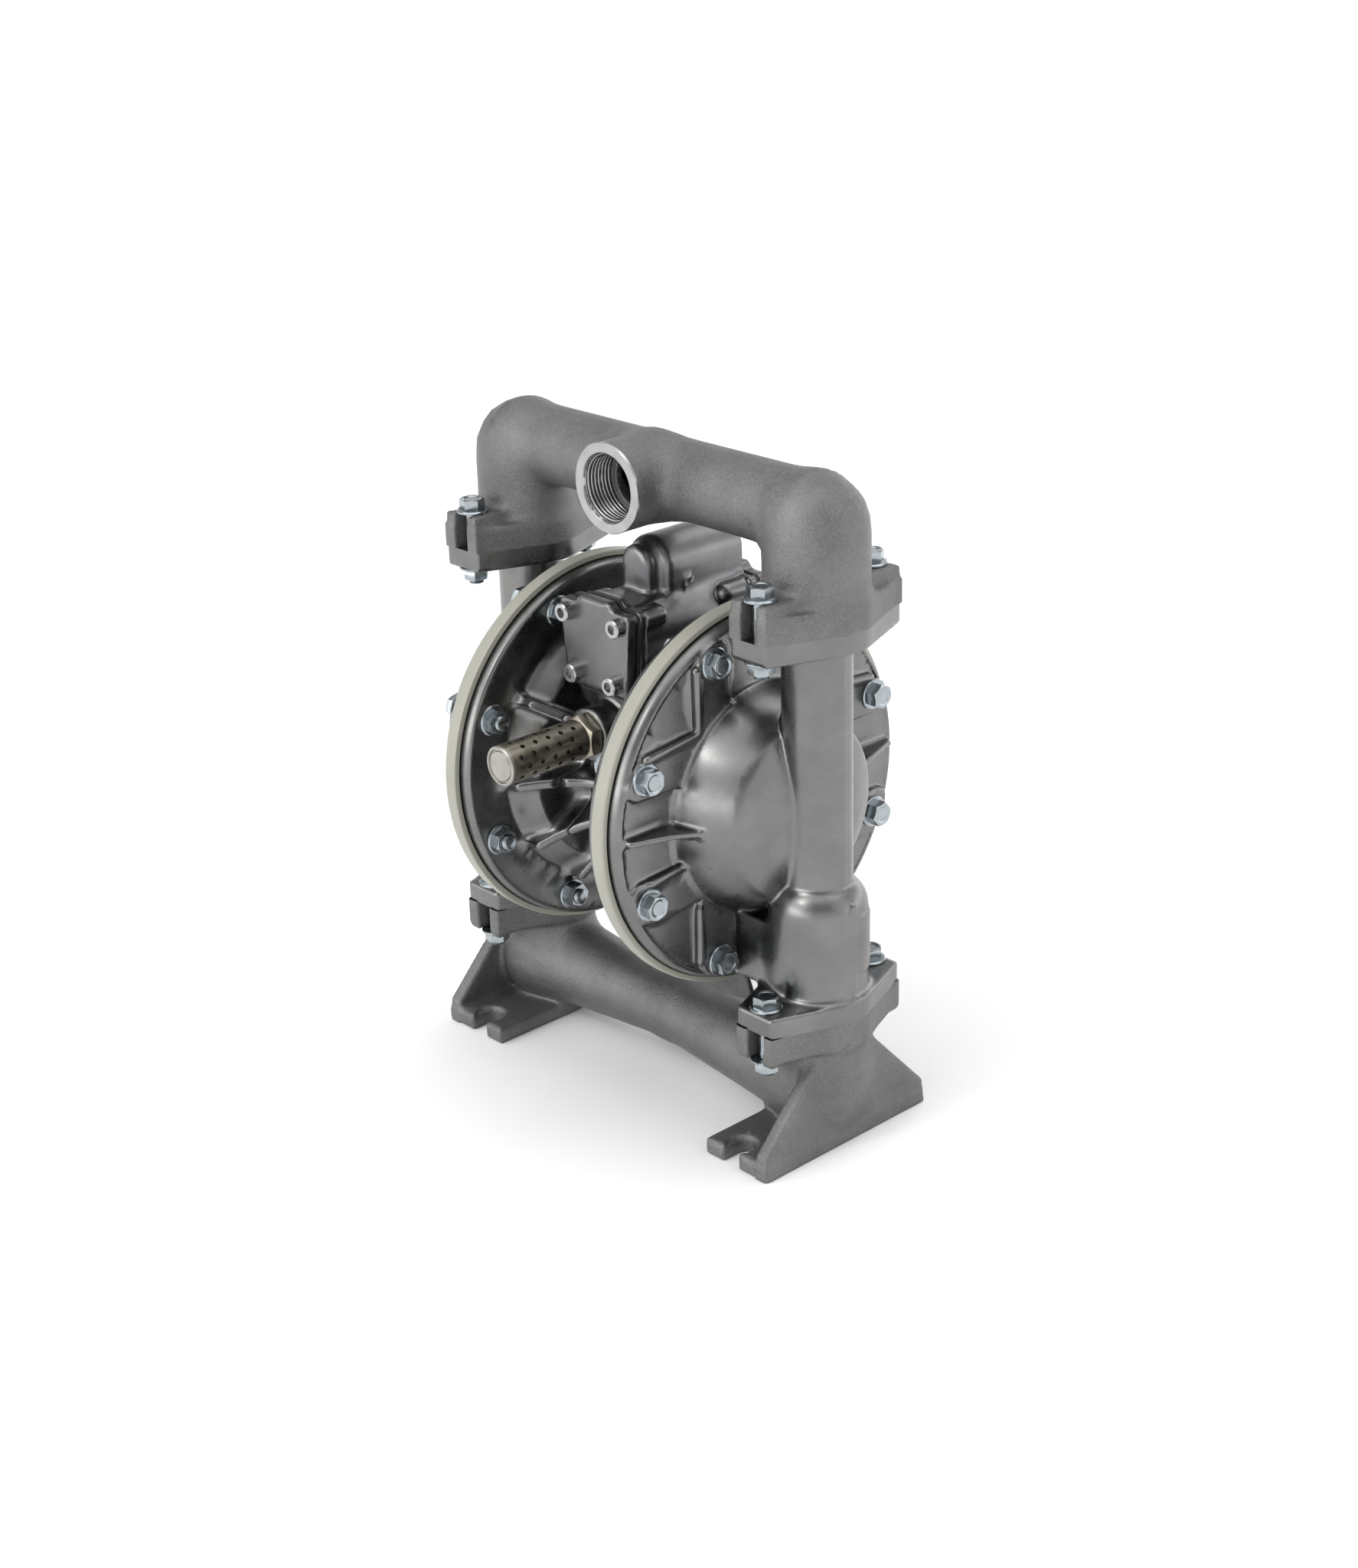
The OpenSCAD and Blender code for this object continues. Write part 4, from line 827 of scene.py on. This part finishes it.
# %% [markdown]
# ## Fasteners
# Bolts, nuts and cap screws repeat dozens of times, so each is modelled once as a stack of rings, round or
# hexagonal, and Geometry Nodes put a copy on every place. A hexagon's corners are turned down to a cone on the real
# thing, which a ring does by sinking its far points.

# %% Rings stacked into a fastener
RING_POINTS = 48


def ring(radius, height, hexagon=0.0, chamfer=0.0):
    """A closed ring. With hexagon = 1 it is a hexagon of that inner radius, its corners lowered by the chamfer."""
    points = []
    for k in range(RING_POINTS):
        angle = 2 * math.pi * k / RING_POINTS
        fold = (angle + math.pi / 6) % (math.pi / 3) - math.pi / 6
        far = radius / math.cos(fold) if hexagon else radius
        points.append((far * math.cos(angle), far * math.sin(angle), height - chamfer * (far - radius)))
    return points


def stack(name, rings, material):
    """Skins rings from the bottom up and closes both ends."""
    points = [p for r in rings for p in r]
    faces = []
    for level in range(len(rings) - 1):
        for k in range(RING_POINTS):
            a = level * RING_POINTS + k
            b = level * RING_POINTS + (k + 1) % RING_POINTS
            faces.append((a, b, b + RING_POINTS, a + RING_POINTS))
    for level, turn in ((0, -1), (len(rings) - 1, 1)):
        middle = len(points)
        start = level * RING_POINTS
        points.append((0, 0, sum(p[2] for p in rings[level]) / RING_POINTS))
        for k in range(RING_POINTS):
            pair = (start + k, start + (k + 1) % RING_POINTS)
            faces.append((middle, *pair[::turn]))
    piece = new_object(name, np.array(points) * MM, faces, material)
    piece.data.set_sharp_from_angle(angle=math.radians(32))
    return piece


def hex_head(af, height, start):
    inner = af / 2
    return [ring(inner * 0.97, start, 1), ring(inner, start + 0.3, 1), ring(inner, height, 1, 0.58),
            ring(inner * 0.94, height), ring(inner * 0.9, height)]


def bolt_template(length):
    """Flange bolt: shank down, then washer and head up."""
    shank = [ring(3.2, -length), ring(4, -length + 0.8), ring(4, 0)]
    washer = [ring(8.2, 0), ring(8.6, 0.3), ring(8.6, 1.1), ring(8.0, 1.6)]
    dish = [ring(4.2, 7.2), ring(3.8, 6.9)]
    return stack("bolt_template", shank + washer + hex_head(12, 7.5, 1.7) + dish, ZINC)


def nut_template(tip):
    """Flange nut with the end of the bolt standing out of it."""
    washer = [ring(8.2, 0), ring(8.6, 0.3), ring(8.6, 1.0), ring(7.9, 1.6)]
    thread = [ring(4.4, 7.0), ring(3.9, 6.6)]
    for k in range(int(tip / 0.8)):
        thread += [ring(3.9, 7.0 + 0.8 * k), ring(3.5, 7.4 + 0.8 * k)]
    top = 7.0 + tip
    thread += [ring(3.9, top - 0.4), ring(3.1, top)]
    return stack("nut_template", washer + hex_head(12, 7.0, 1.7) + thread, ZINC)


def socket_template(radius, height, length):
    shank = [ring(2.6, -length), ring(3.0, -length + 0.6), ring(3.0, 0)]
    head = [ring(radius, 0), ring(radius, height - 0.6), ring(radius - 0.6, height)]
    socket = [ring(2.7, height), ring(2.5, height - 0.3, 1), ring(2.5, height - 3, 1)]
    return stack("socket_template", shank + head + socket, STEEL)


# %% Copies by Geometry Nodes


def geometry_tree(name, inputs):
    tree = bpy.data.node_groups.new(name, "GeometryNodeTree")
    tree.interface.new_socket("Geometry", in_out="OUTPUT", socket_type="NodeSocketGeometry")
    tree.interface.new_socket("Geometry", in_out="INPUT", socket_type="NodeSocketGeometry")
    for label, kind in inputs:
        tree.interface.new_socket(label, in_out="INPUT", socket_type="NodeSocket" + kind)
    return tree, tree.nodes.new("NodeGroupInput")


def close_tree(tree, geometry, material):
    real = add(tree, "GeometryNodeRealizeInstances", {0: geometry})
    painted = add(tree, "GeometryNodeSetMaterial", {"Geometry": real.outputs[0], "Material": material})
    add(tree, "NodeGroupOutput", {0: painted.outputs[0]})


def run_tree(holder, tree, values, name):
    """Runs the tree on the holder's mesh with the named inputs, and returns the result as a plain mesh object."""
    modifier = holder.modifiers.new("grow", "NODES")
    modifier.node_group = tree
    for item in tree.interface.items_tree:
        if item.in_out == "INPUT" and item.name in values:
            modifier[item.identifier] = values[item.name]
    bpy.context.view_layer.update()
    graph = bpy.context.evaluated_depsgraph_get()
    mesh = bpy.data.meshes.new_from_object(holder.evaluated_get(graph), depsgraph=graph)
    mesh.name = name
    piece = bpy.data.objects.new(name, mesh)
    bpy.context.scene.collection.objects.link(piece)
    bpy.data.objects.remove(holder)
    return piece


def fastener_tree(material):
    """A copy of the template on every point, turned to the point's own direction and spun a little at random."""
    tree, group = geometry_tree("fasteners", [("Template", "Object"), ("Seed", "Int"), ("Spin", "Float")])
    template = add(tree, "GeometryNodeObjectInfo", {"Object": group.outputs["Template"]})
    way = add(tree, "GeometryNodeInputNamedAttribute", {"Name": "way"}, data_type="FLOAT_VECTOR")
    aim = add(tree, "FunctionNodeAlignRotationToVector", {"Vector": way.outputs[0]}, axis="Z")
    spin = add(tree, "FunctionNodeRandomValue", {2: 0.0, 3: group.outputs["Spin"], "Seed": group.outputs["Seed"]},
               data_type="FLOAT")
    about = add(tree, "ShaderNodeCombineXYZ", {"Z": spin.outputs[1]})
    local = add(tree, "FunctionNodeRotateRotation", {"Rotation": aim.outputs[0]}, rotation_space="LOCAL")
    turn = add(tree, "FunctionNodeEulerToRotation", {0: about.outputs[0]})
    tree.links.new(turn.outputs[0], local.inputs["Rotate By"])
    copies = add(tree, "GeometryNodeInstanceOnPoints", {"Points": group.outputs["Geometry"],
                                                         "Instance": template.outputs["Geometry"],
                                                         "Rotation": local.outputs[0]})
    close_tree(tree, copies.outputs[0], material)
    return tree


def copies(name, template, places, ways, slot, nodes, seed, body=BODY):
    mesh = bpy.data.meshes.new("places")
    mesh.from_pydata([tuple(v * MM for v in p) for p in places], [], [])
    attribute = mesh.attributes.new("way", "FLOAT_VECTOR", "POINT")
    attribute.data.foreach_set("vector", [v for w in ways for v in w])
    holder = bpy.data.objects.new("places", mesh)
    bpy.context.scene.collection.objects.link(holder)
    tree = fastener_tree(template.data.materials[0])
    piece = run_tree(holder, tree, {"Template": template, "Seed": seed, "Spin": 1.05}, name)
    bpy.data.objects.remove(template)
    print(name, len(places), "copies")
    return place_piece(piece, nodes, body)


# %% Flange and chamber fasteners
TIP_OUT = 2.5


def joint_places(z):
    return [(sx * COLUMN_X, sy * BOLT_Y, z) for sx in (-1, 1) for sy in (-1, 1)]


def make_flange_fasteners():
    up, down = (0, 0, 1), (0, 0, -1)
    rows = [("discharge", HIGH_JOINT + 19.5, HIGH_JOINT - 10.8, 1), ("suction", LOW_JOINT + 10.8, LOW_JOINT - 17.5, 5)]
    for name, head_z, nut_z, seed in rows:
        copies(name + "_bolts", bolt_template(head_z - nut_z), joint_places(head_z), [up] * 4, "zinc_plated_steel",
               [name + "_flange_bolts"], seed)
        copies(name + "_nuts", nut_template(TIP_OUT), joint_places(nut_z), [down] * 4, "zinc_plated_steel",
               [name + "_flange_nuts"], seed + 1)


def make_chamber_fasteners():
    for side, s in (("right", 1), ("left", -1)):
        spots = [(CHAMBER_BOLT_R * math.cos(a), ROD_Z + CHAMBER_BOLT_R * math.sin(a)) for a in BOLT_ANGLES]
        heads = [(s * PLATEAU_X, y, z) for y, z in spots]
        nuts = [(s * AIR_BACK, y, z) for y, z in spots]
        copies(side + "_chamber_bolt_heads", bolt_template(PLATEAU_X - AIR_BACK), heads, [(s, 0, 0)] * 8,
               "zinc_plated_steel", [side + "_chamber_bolts"], 10 + s)
        copies(side + "_chamber_bolt_nuts", nut_template(TIP_OUT), nuts, [(-s, 0, 0)] * 8, "zinc_plated_steel",
               [side + "_chamber_nuts"], 20 + s)


def make_cap_screws():
    places, ways = [], []
    for end in (-1, 1):
        for side in (-1, 1):
            for x, up in ((19.5, 40), (15, 8)):
                places.append((side * x, end * 50, VALVE_Z + up))
                ways.append((0, end, 0))
    copies("cap_socket_screws", socket_template(5.0, 5.5, 28), places, ways, "zinc_plated_steel",
           ["valve_cap_screws"], 31)


make_flange_fasteners()
make_chamber_fasteners()
make_cap_screws()

# %% [markdown]
# ## The port threads
# A pipe thread is a helix. Geometry Nodes have a spiral curve, and a small triangle drawn along it makes the crests.
# The mouth gets a turned ring, brighter than the casting round it.

# %% Threads
PITCH = 2.31


def thread_tree():
    tree, group = geometry_tree("pipe_thread", [("Radius", "Float"), ("Length", "Float"), ("Pitch", "Float"),
                                                 ("Crest", "Float"), ("Turn", "Rotation"), ("Place", "Vector")])
    turns = add(tree, "ShaderNodeMath", {0: group.outputs["Length"], 1: group.outputs["Pitch"]}, operation="DIVIDE")
    helix = add(tree, "GeometryNodeCurveSpiral", {"Resolution": 72, "Rotations": turns.outputs[0],
                                                  "Start Radius": group.outputs["Radius"],
                                                  "End Radius": group.outputs["Radius"],
                                                  "Height": group.outputs["Length"]})
    crest = add(tree, "GeometryNodeCurvePrimitiveCircle", {"Resolution": 4, "Radius": group.outputs["Crest"]})
    swept = add(tree, "GeometryNodeCurveToMesh", {0: helix.outputs[0], 1: crest.outputs[0], "Fill Caps": True})
    placed = add(tree, "GeometryNodeTransform", {"Geometry": swept.outputs[0], "Translation": group.outputs["Place"],
                                                 "Rotation": group.outputs["Turn"]})
    close_tree(tree, placed.outputs[0], MACHINED)
    return tree


def make_thread(name, place, turn):
    holder = new_object("thread_start", [(0, 0, 0)], [], MACHINED)
    values = {"Radius": (PORT_R + 0.95) * MM, "Length": 15.5 * MM, "Pitch": PITCH * MM, "Crest": 1.15 * MM,
              "Turn": turn, "Place": [v * MM for v in place]}
    piece = run_tree(holder, thread_tree(), values, name)
    place_piece(piece)


def make_threads():
    make_thread("outlet_thread", (0, -PORT_FACE_Y + 2, TUBE_Z), (-math.pi / 2, 0, 0))
    make_thread("inlet_thread", (0, PORT_FACE_Y - 2, ARM_Z), (math.pi / 2, 0, 0))


make_threads()

# %% Turned parts: port rings, diaphragms and muffler ends


def lathe(name, profile, centre, axis, material, closed=True, steps=128):
    """Turns (distance along the axis, radius) points about the axis. A closed profile makes a ring."""
    rows = []
    for along, radius in profile:
        angles = 2 * np.pi * np.arange(steps) / steps
        ring_points = np.zeros((steps, 3))
        others = [i for i in range(3) if i != axis]
        ring_points[:, axis] = along
        ring_points[:, others[0]] = radius * np.cos(angles)
        ring_points[:, others[1]] = radius * np.sin(angles)
        rows.append(ring_points + np.array(centre))
    points = np.concatenate(rows)
    count = len(rows)
    faces = []
    for level in range(count if closed else count - 1):
        a = level * steps
        b = (level + 1) % count * steps
        for k in range(steps):
            n = (k + 1) % steps
            faces.append((a + k, a + n, b + n, b + k))
    if not closed:
        faces += [tuple(range(steps))[::-1], tuple(range((count - 1) * steps, count * steps))]
    piece = new_object(name, points * MM, faces, material)
    outward(piece)
    piece.data.set_sharp_from_angle(angle=math.radians(30))
    return piece


def outward(piece):
    """Turns every face outwards."""
    form = bmesh.new()
    form.from_mesh(piece.data)
    bmesh.ops.remove_doubles(form, verts=form.verts, dist=1e-7)
    bmesh.ops.recalc_face_normals(form, faces=form.faces)
    form.to_mesh(piece.data)
    form.free()


def make_port_rings():
    turned = make_metal("turned_aluminium_face", "#b0b0af", 0.2, 0.28, 8, 0.05, rings=(0, 0, TUBE_Z))
    for name, y, z, s in (("outlet_face_ring", -PORT_FACE_Y, TUBE_Z, -1), ("inlet_face_ring", PORT_FACE_Y, ARM_Z, 1)):
        profile = [(0, PORT_R + 1.6), (0.25, PORT_R + 1.8), (0.25, PORT_FACE_R - 0.7), (0, PORT_FACE_R - 0.4),
                   (-1.0, PORT_FACE_R - 0.4), (-1.5, PORT_R + 0.7)]
        piece = lathe(name, [(s * a, r) for a, r in profile], (0, y, z), 1, turned)
        place_piece(piece)


def make_diaphragms():
    """The ivory rim is a bead with rounded edges, and the sheet behind it folds once."""
    for side, s in (("right", 1), ("left", -1)):
        rim = [(-4.3, 101), (-4.3, 103.2), (-4.1, 103.7), (-3.6, 103.95), (-3.0, 103.98), (2.6, 103.98), (3.5, 103.8),
               (4.1, 103.3), (4.3, 102.6), (4.3, 101), (2.0, 101), (2.0, 78), (2.0, 62), (2.0, 12), (2.0, 6.0),
               (-2.0, 6.0), (-2.0, 60), (-1.0, 65), (-0.4, 69), (-1.0, 73), (-2.0, 78), (-2.0, 101)]
        piece = lathe(side + "_diaphragm_sheet", [(s * (58.2 + a), r) for a, r in rim], (0, 0, ROD_Z), 0, IVORY,
                      steps=192)
        place_piece(piece, [side + "_diaphragm"])


make_port_rings()
make_diaphragms()

# %% [markdown]
# ## The muffler
# A pressed tube with rows of small holes, screwed into the exhaust by a hexagonal fitting. The holes really are
# holes: Geometry Nodes put a cutter on each place of a staggered grid round the tube, and a boolean takes them out.

# %% Muffler
TUBE_START = -65.0
TUBE_END = -114.5
MUFFLER_R = 10.5


def perforation_tree():
    tree, group = geometry_tree("perforations", [("Rows", "Int"), ("Columns", "Int"), ("Hole", "Float"),
                                                  ("Radius", "Float"), ("Start", "Float"), ("Gap", "Float")])
    count = add(tree, "ShaderNodeMath", {0: group.outputs["Rows"], 1: group.outputs["Columns"]}, operation="MULTIPLY")
    points = add(tree, "GeometryNodePoints", {"Count": count.outputs[0]})
    index = add(tree, "GeometryNodeInputIndex")
    row = add(tree, "ShaderNodeMath", {0: index.outputs[0], 1: group.outputs["Columns"]}, operation="DIVIDE")
    row = add(tree, "ShaderNodeMath", {0: row.outputs[0]}, operation="FLOOR")
    column = add(tree, "ShaderNodeMath", {0: index.outputs[0], 1: group.outputs["Columns"]}, operation="MODULO")
    odd = add(tree, "ShaderNodeMath", {0: row.outputs[0], 1: 2.0}, operation="MODULO")
    shift = add(tree, "ShaderNodeMath", {0: odd.outputs[0], 1: 0.5, 2: column.outputs[0]}, operation="MULTIPLY_ADD")
    along = add(tree, "ShaderNodeMath", {0: shift.outputs[0], 1: group.outputs["Gap"], 2: group.outputs["Start"]},
                operation="MULTIPLY_ADD")
    share = add(tree, "ShaderNodeMath", {0: row.outputs[0], 1: group.outputs["Rows"]}, operation="DIVIDE")
    angle = add(tree, "ShaderNodeMath", {0: share.outputs[0], 1: 2 * math.pi}, operation="MULTIPLY")
    spot = add(tree, "ShaderNodeCombineXYZ", {"Y": along.outputs[0], "Z": EXHAUST_Z * MM})
    moved = add(tree, "GeometryNodeSetPosition", {"Geometry": points.outputs[0], "Position": spot.outputs[0]})
    turn = add(tree, "ShaderNodeCombineXYZ", {"Y": angle.outputs[0]})
    drill = add(tree, "GeometryNodeMeshCylinder", {"Vertices": 16, "Radius": group.outputs["Hole"],
                                                    "Depth": group.outputs["Radius"]})
    lifted_by = add(tree, "ShaderNodeCombineXYZ", {"Z": group.outputs["Radius"]})
    lifted = add(tree, "GeometryNodeTransform", {"Geometry": drill.outputs[0], "Translation": lifted_by.outputs[0]})
    drills = add(tree, "GeometryNodeInstanceOnPoints", {"Points": moved.outputs[0], "Instance": lifted.outputs[0],
                                                         "Rotation": turn.outputs[0]})
    real = add(tree, "GeometryNodeRealizeInstances", {0: drills.outputs[0]})
    holed = add(tree, "GeometryNodeMeshBoolean", {0: group.outputs["Geometry"], 1: real.outputs[0]},
                operation="DIFFERENCE")
    close_tree(tree, holed.outputs[0], NICKEL)
    return tree


def make_muffler():
    wall = 1.2
    profile = [(TUBE_END + 0.5, MUFFLER_R), (TUBE_START, MUFFLER_R), (TUBE_START, MUFFLER_R - wall),
               (TUBE_END + 0.5, MUFFLER_R - wall)]
    tube = lathe("tube_blank", profile, (0, 0, EXHAUST_Z), 1, NICKEL, steps=96)
    values = {"Rows": 12, "Columns": 5, "Hole": 1.35 * MM, "Radius": MUFFLER_R * MM, "Start": -109 * MM,
              "Gap": 8.4 * MM}
    piece = run_tree(tube, perforation_tree(), values, "muffler_perforated_tube")
    print("perforated tube:", len(piece.data.polygons), "faces")
    place_piece(piece, ["muffler_tube"])
    lip = [(-113.9, 9.2), (-114, MUFFLER_R), (-115.4, MUFFLER_R), (-116, MUFFLER_R - 0.6), (-116, MUFFLER_R - 1.4),
           (-114.9, MUFFLER_R - 1.8), (-114.9, MUFFLER_R - 2.4), (-115.6, MUFFLER_R - 2.9), (-115.6, 0.05)]
    cap = lathe("muffler_pressed_end", lip, (0, 0, EXHAUST_Z), 1, SATIN, closed=False, steps=96)
    place_piece(cap, ["muffler_end_disc"])


def make_muffler_fitting():
    rings = [ring(8.3, -10), ring(8.3, -0.6), ring(9.4, -0.5), ring(9.4, 0), ring(10.4, 0.1, 0), ring(10.8, 0.2, 1),
             ring(11.0, 0.8, 1), ring(11.0, 7.2, 1, 0.5), ring(10.6, 7.6), ring(9.6, 8.0)]
    piece = stack("muffler_hexagon", rings, NICKEL)
    turn = Matrix.Translation((0, EXHAUST_Y * MM, EXHAUST_Z * MM)) @ Matrix.Rotation(math.pi / 2, 4, "X")
    piece.data.transform(turn)
    place_piece(piece, ["muffler_fitting"])


make_muffler()
make_muffler_fitting()

# %% [markdown]
# ## Finishing the pieces that CAD already shapes well
# Seats, balls, cages, the rod and the valve's inside keep their CAD shape. They only need the right material in
# their slot.

# %% Materials for the remaining nodes
FINISHES = {
    "sand_cast_aluminium": SAND_CAST, "die_cast_aluminium": DIE_CAST, "machined_aluminium": MACHINED,
    "diaphragm_ivory": IVORY, "ptfe_white": PTFE, "bronze": BRONZE, "nitrile_rubber": RUBBER,
    "nickel_plated_muffler": NICKEL, "porous_plastic": PAINTED_SHADE_CORE, "stainless_steel": STEEL, "zinc_plated_steel": ZINC,
}


def paint_nodes():
    slots = {row["node"]: row["material_slot"] for row in frame["record"]["subparts"]}
    for name, node in frame["nodes"].items():
        node.data.materials.clear()
        node.data.materials.append(FINISHES[slots[name]])
    print("painted", len(slots), "nodes")


paint_nodes()

# %% [markdown]
# ## Floor and light
# The photograph was taken in a white studio. A wide matt floor catches the shadow and runs on to the horizon. The
# world is white low down and overhead with a darker band between, and brighter to the left and right where the
# softboxes stood, because metal only looks like metal when it has light and dark to mirror. Broad suns stand for the
# lamps: being far away they light the whole floor evenly, and being broad they throw soft shadows.

# %% Stage
SOFTBOX_LINE = (0.259, 0.966, 0.0)  # the way from the left softbox to the right one


def make_floor():
    size = 40.0
    floor = new_object("floor", [(-size, -size, 0), (size, -size, 0), (size, size, 0), (-size, size, 0)],
                       [(0, 1, 2, 3)], None)
    material, _, _, shader = new_material("matt_white_floor")
    shader.inputs["Base Color"].default_value = colour("#fafafa")
    shader.inputs["Roughness"].default_value = 0.9
    shader.inputs["Specular IOR Level"].default_value = 0.1
    floor.data.materials.clear()
    floor.data.materials.append(material)


def make_world():
    world = bpy.data.worlds.new("studio")
    bpy.context.scene.world = world
    world.use_nodes = True
    tree = world.node_tree
    tree.nodes.clear()
    way = add(tree, "ShaderNodeTexCoord").outputs["Generated"]
    split = add(tree, "ShaderNodeSeparateXYZ", {0: way})
    height = add(tree, "ShaderNodeMapRange", {"Value": split.outputs["Z"], "From Min": -1.0, "From Max": 1.0})
    stops = [(0.0, 1.25), (0.6, 1.25), (0.7, 0.5), (0.86, 0.5), (0.93, 1.6)]
    aside = add(tree, "ShaderNodeVectorMath", {0: way, 1: SOFTBOX_LINE}, operation="DOT_PRODUCT")
    across = add(tree, "ShaderNodeMapRange", {"Value": aside.outputs["Value"], "From Min": -1.0, "From Max": 1.0})
    sides = ramp(tree, across.outputs[0], [(0.01, 3.2), (0.06, 2.2), (0.15, 0.82), (0.7, 0.82), (0.9, 1.7)])
    light = add(tree, "ShaderNodeBackground", {"Color": ramp(tree, height.outputs[0], stops), "Strength": sides})
    add(tree, "ShaderNodeOutputWorld", {0: light.outputs[0]})


def add_sun(name, azimuth, elevation, breadth, power):
    """A lamp at infinity. The angles are in degrees, and breadth is how wide its disc looks."""
    data = bpy.data.lights.new(name, "SUN")
    data.energy = power
    data.angle = math.radians(breadth)
    lamp = bpy.data.objects.new(name, data)
    a, e = math.radians(azimuth), math.radians(elevation)
    way = Vector((-math.cos(e) * math.cos(a), -math.cos(e) * math.sin(a), -math.sin(e)))
    lamp.rotation_euler = way.to_track_quat("-Z", "Y").to_euler()
    bpy.context.scene.collection.objects.link(lamp)


def make_lights():
    add_sun("key", -112, 40, 60, 0.7)
    add_sun("fill", 14, 34, 40, 0.22)
    add_sun("top", 85, 70, 60, 0.55)
    add_sun("spark", -98, 46, 12, 0.34)


make_floor()
make_world()
make_lights()
bpy.context.scene.view_settings.view_transform = "Standard"
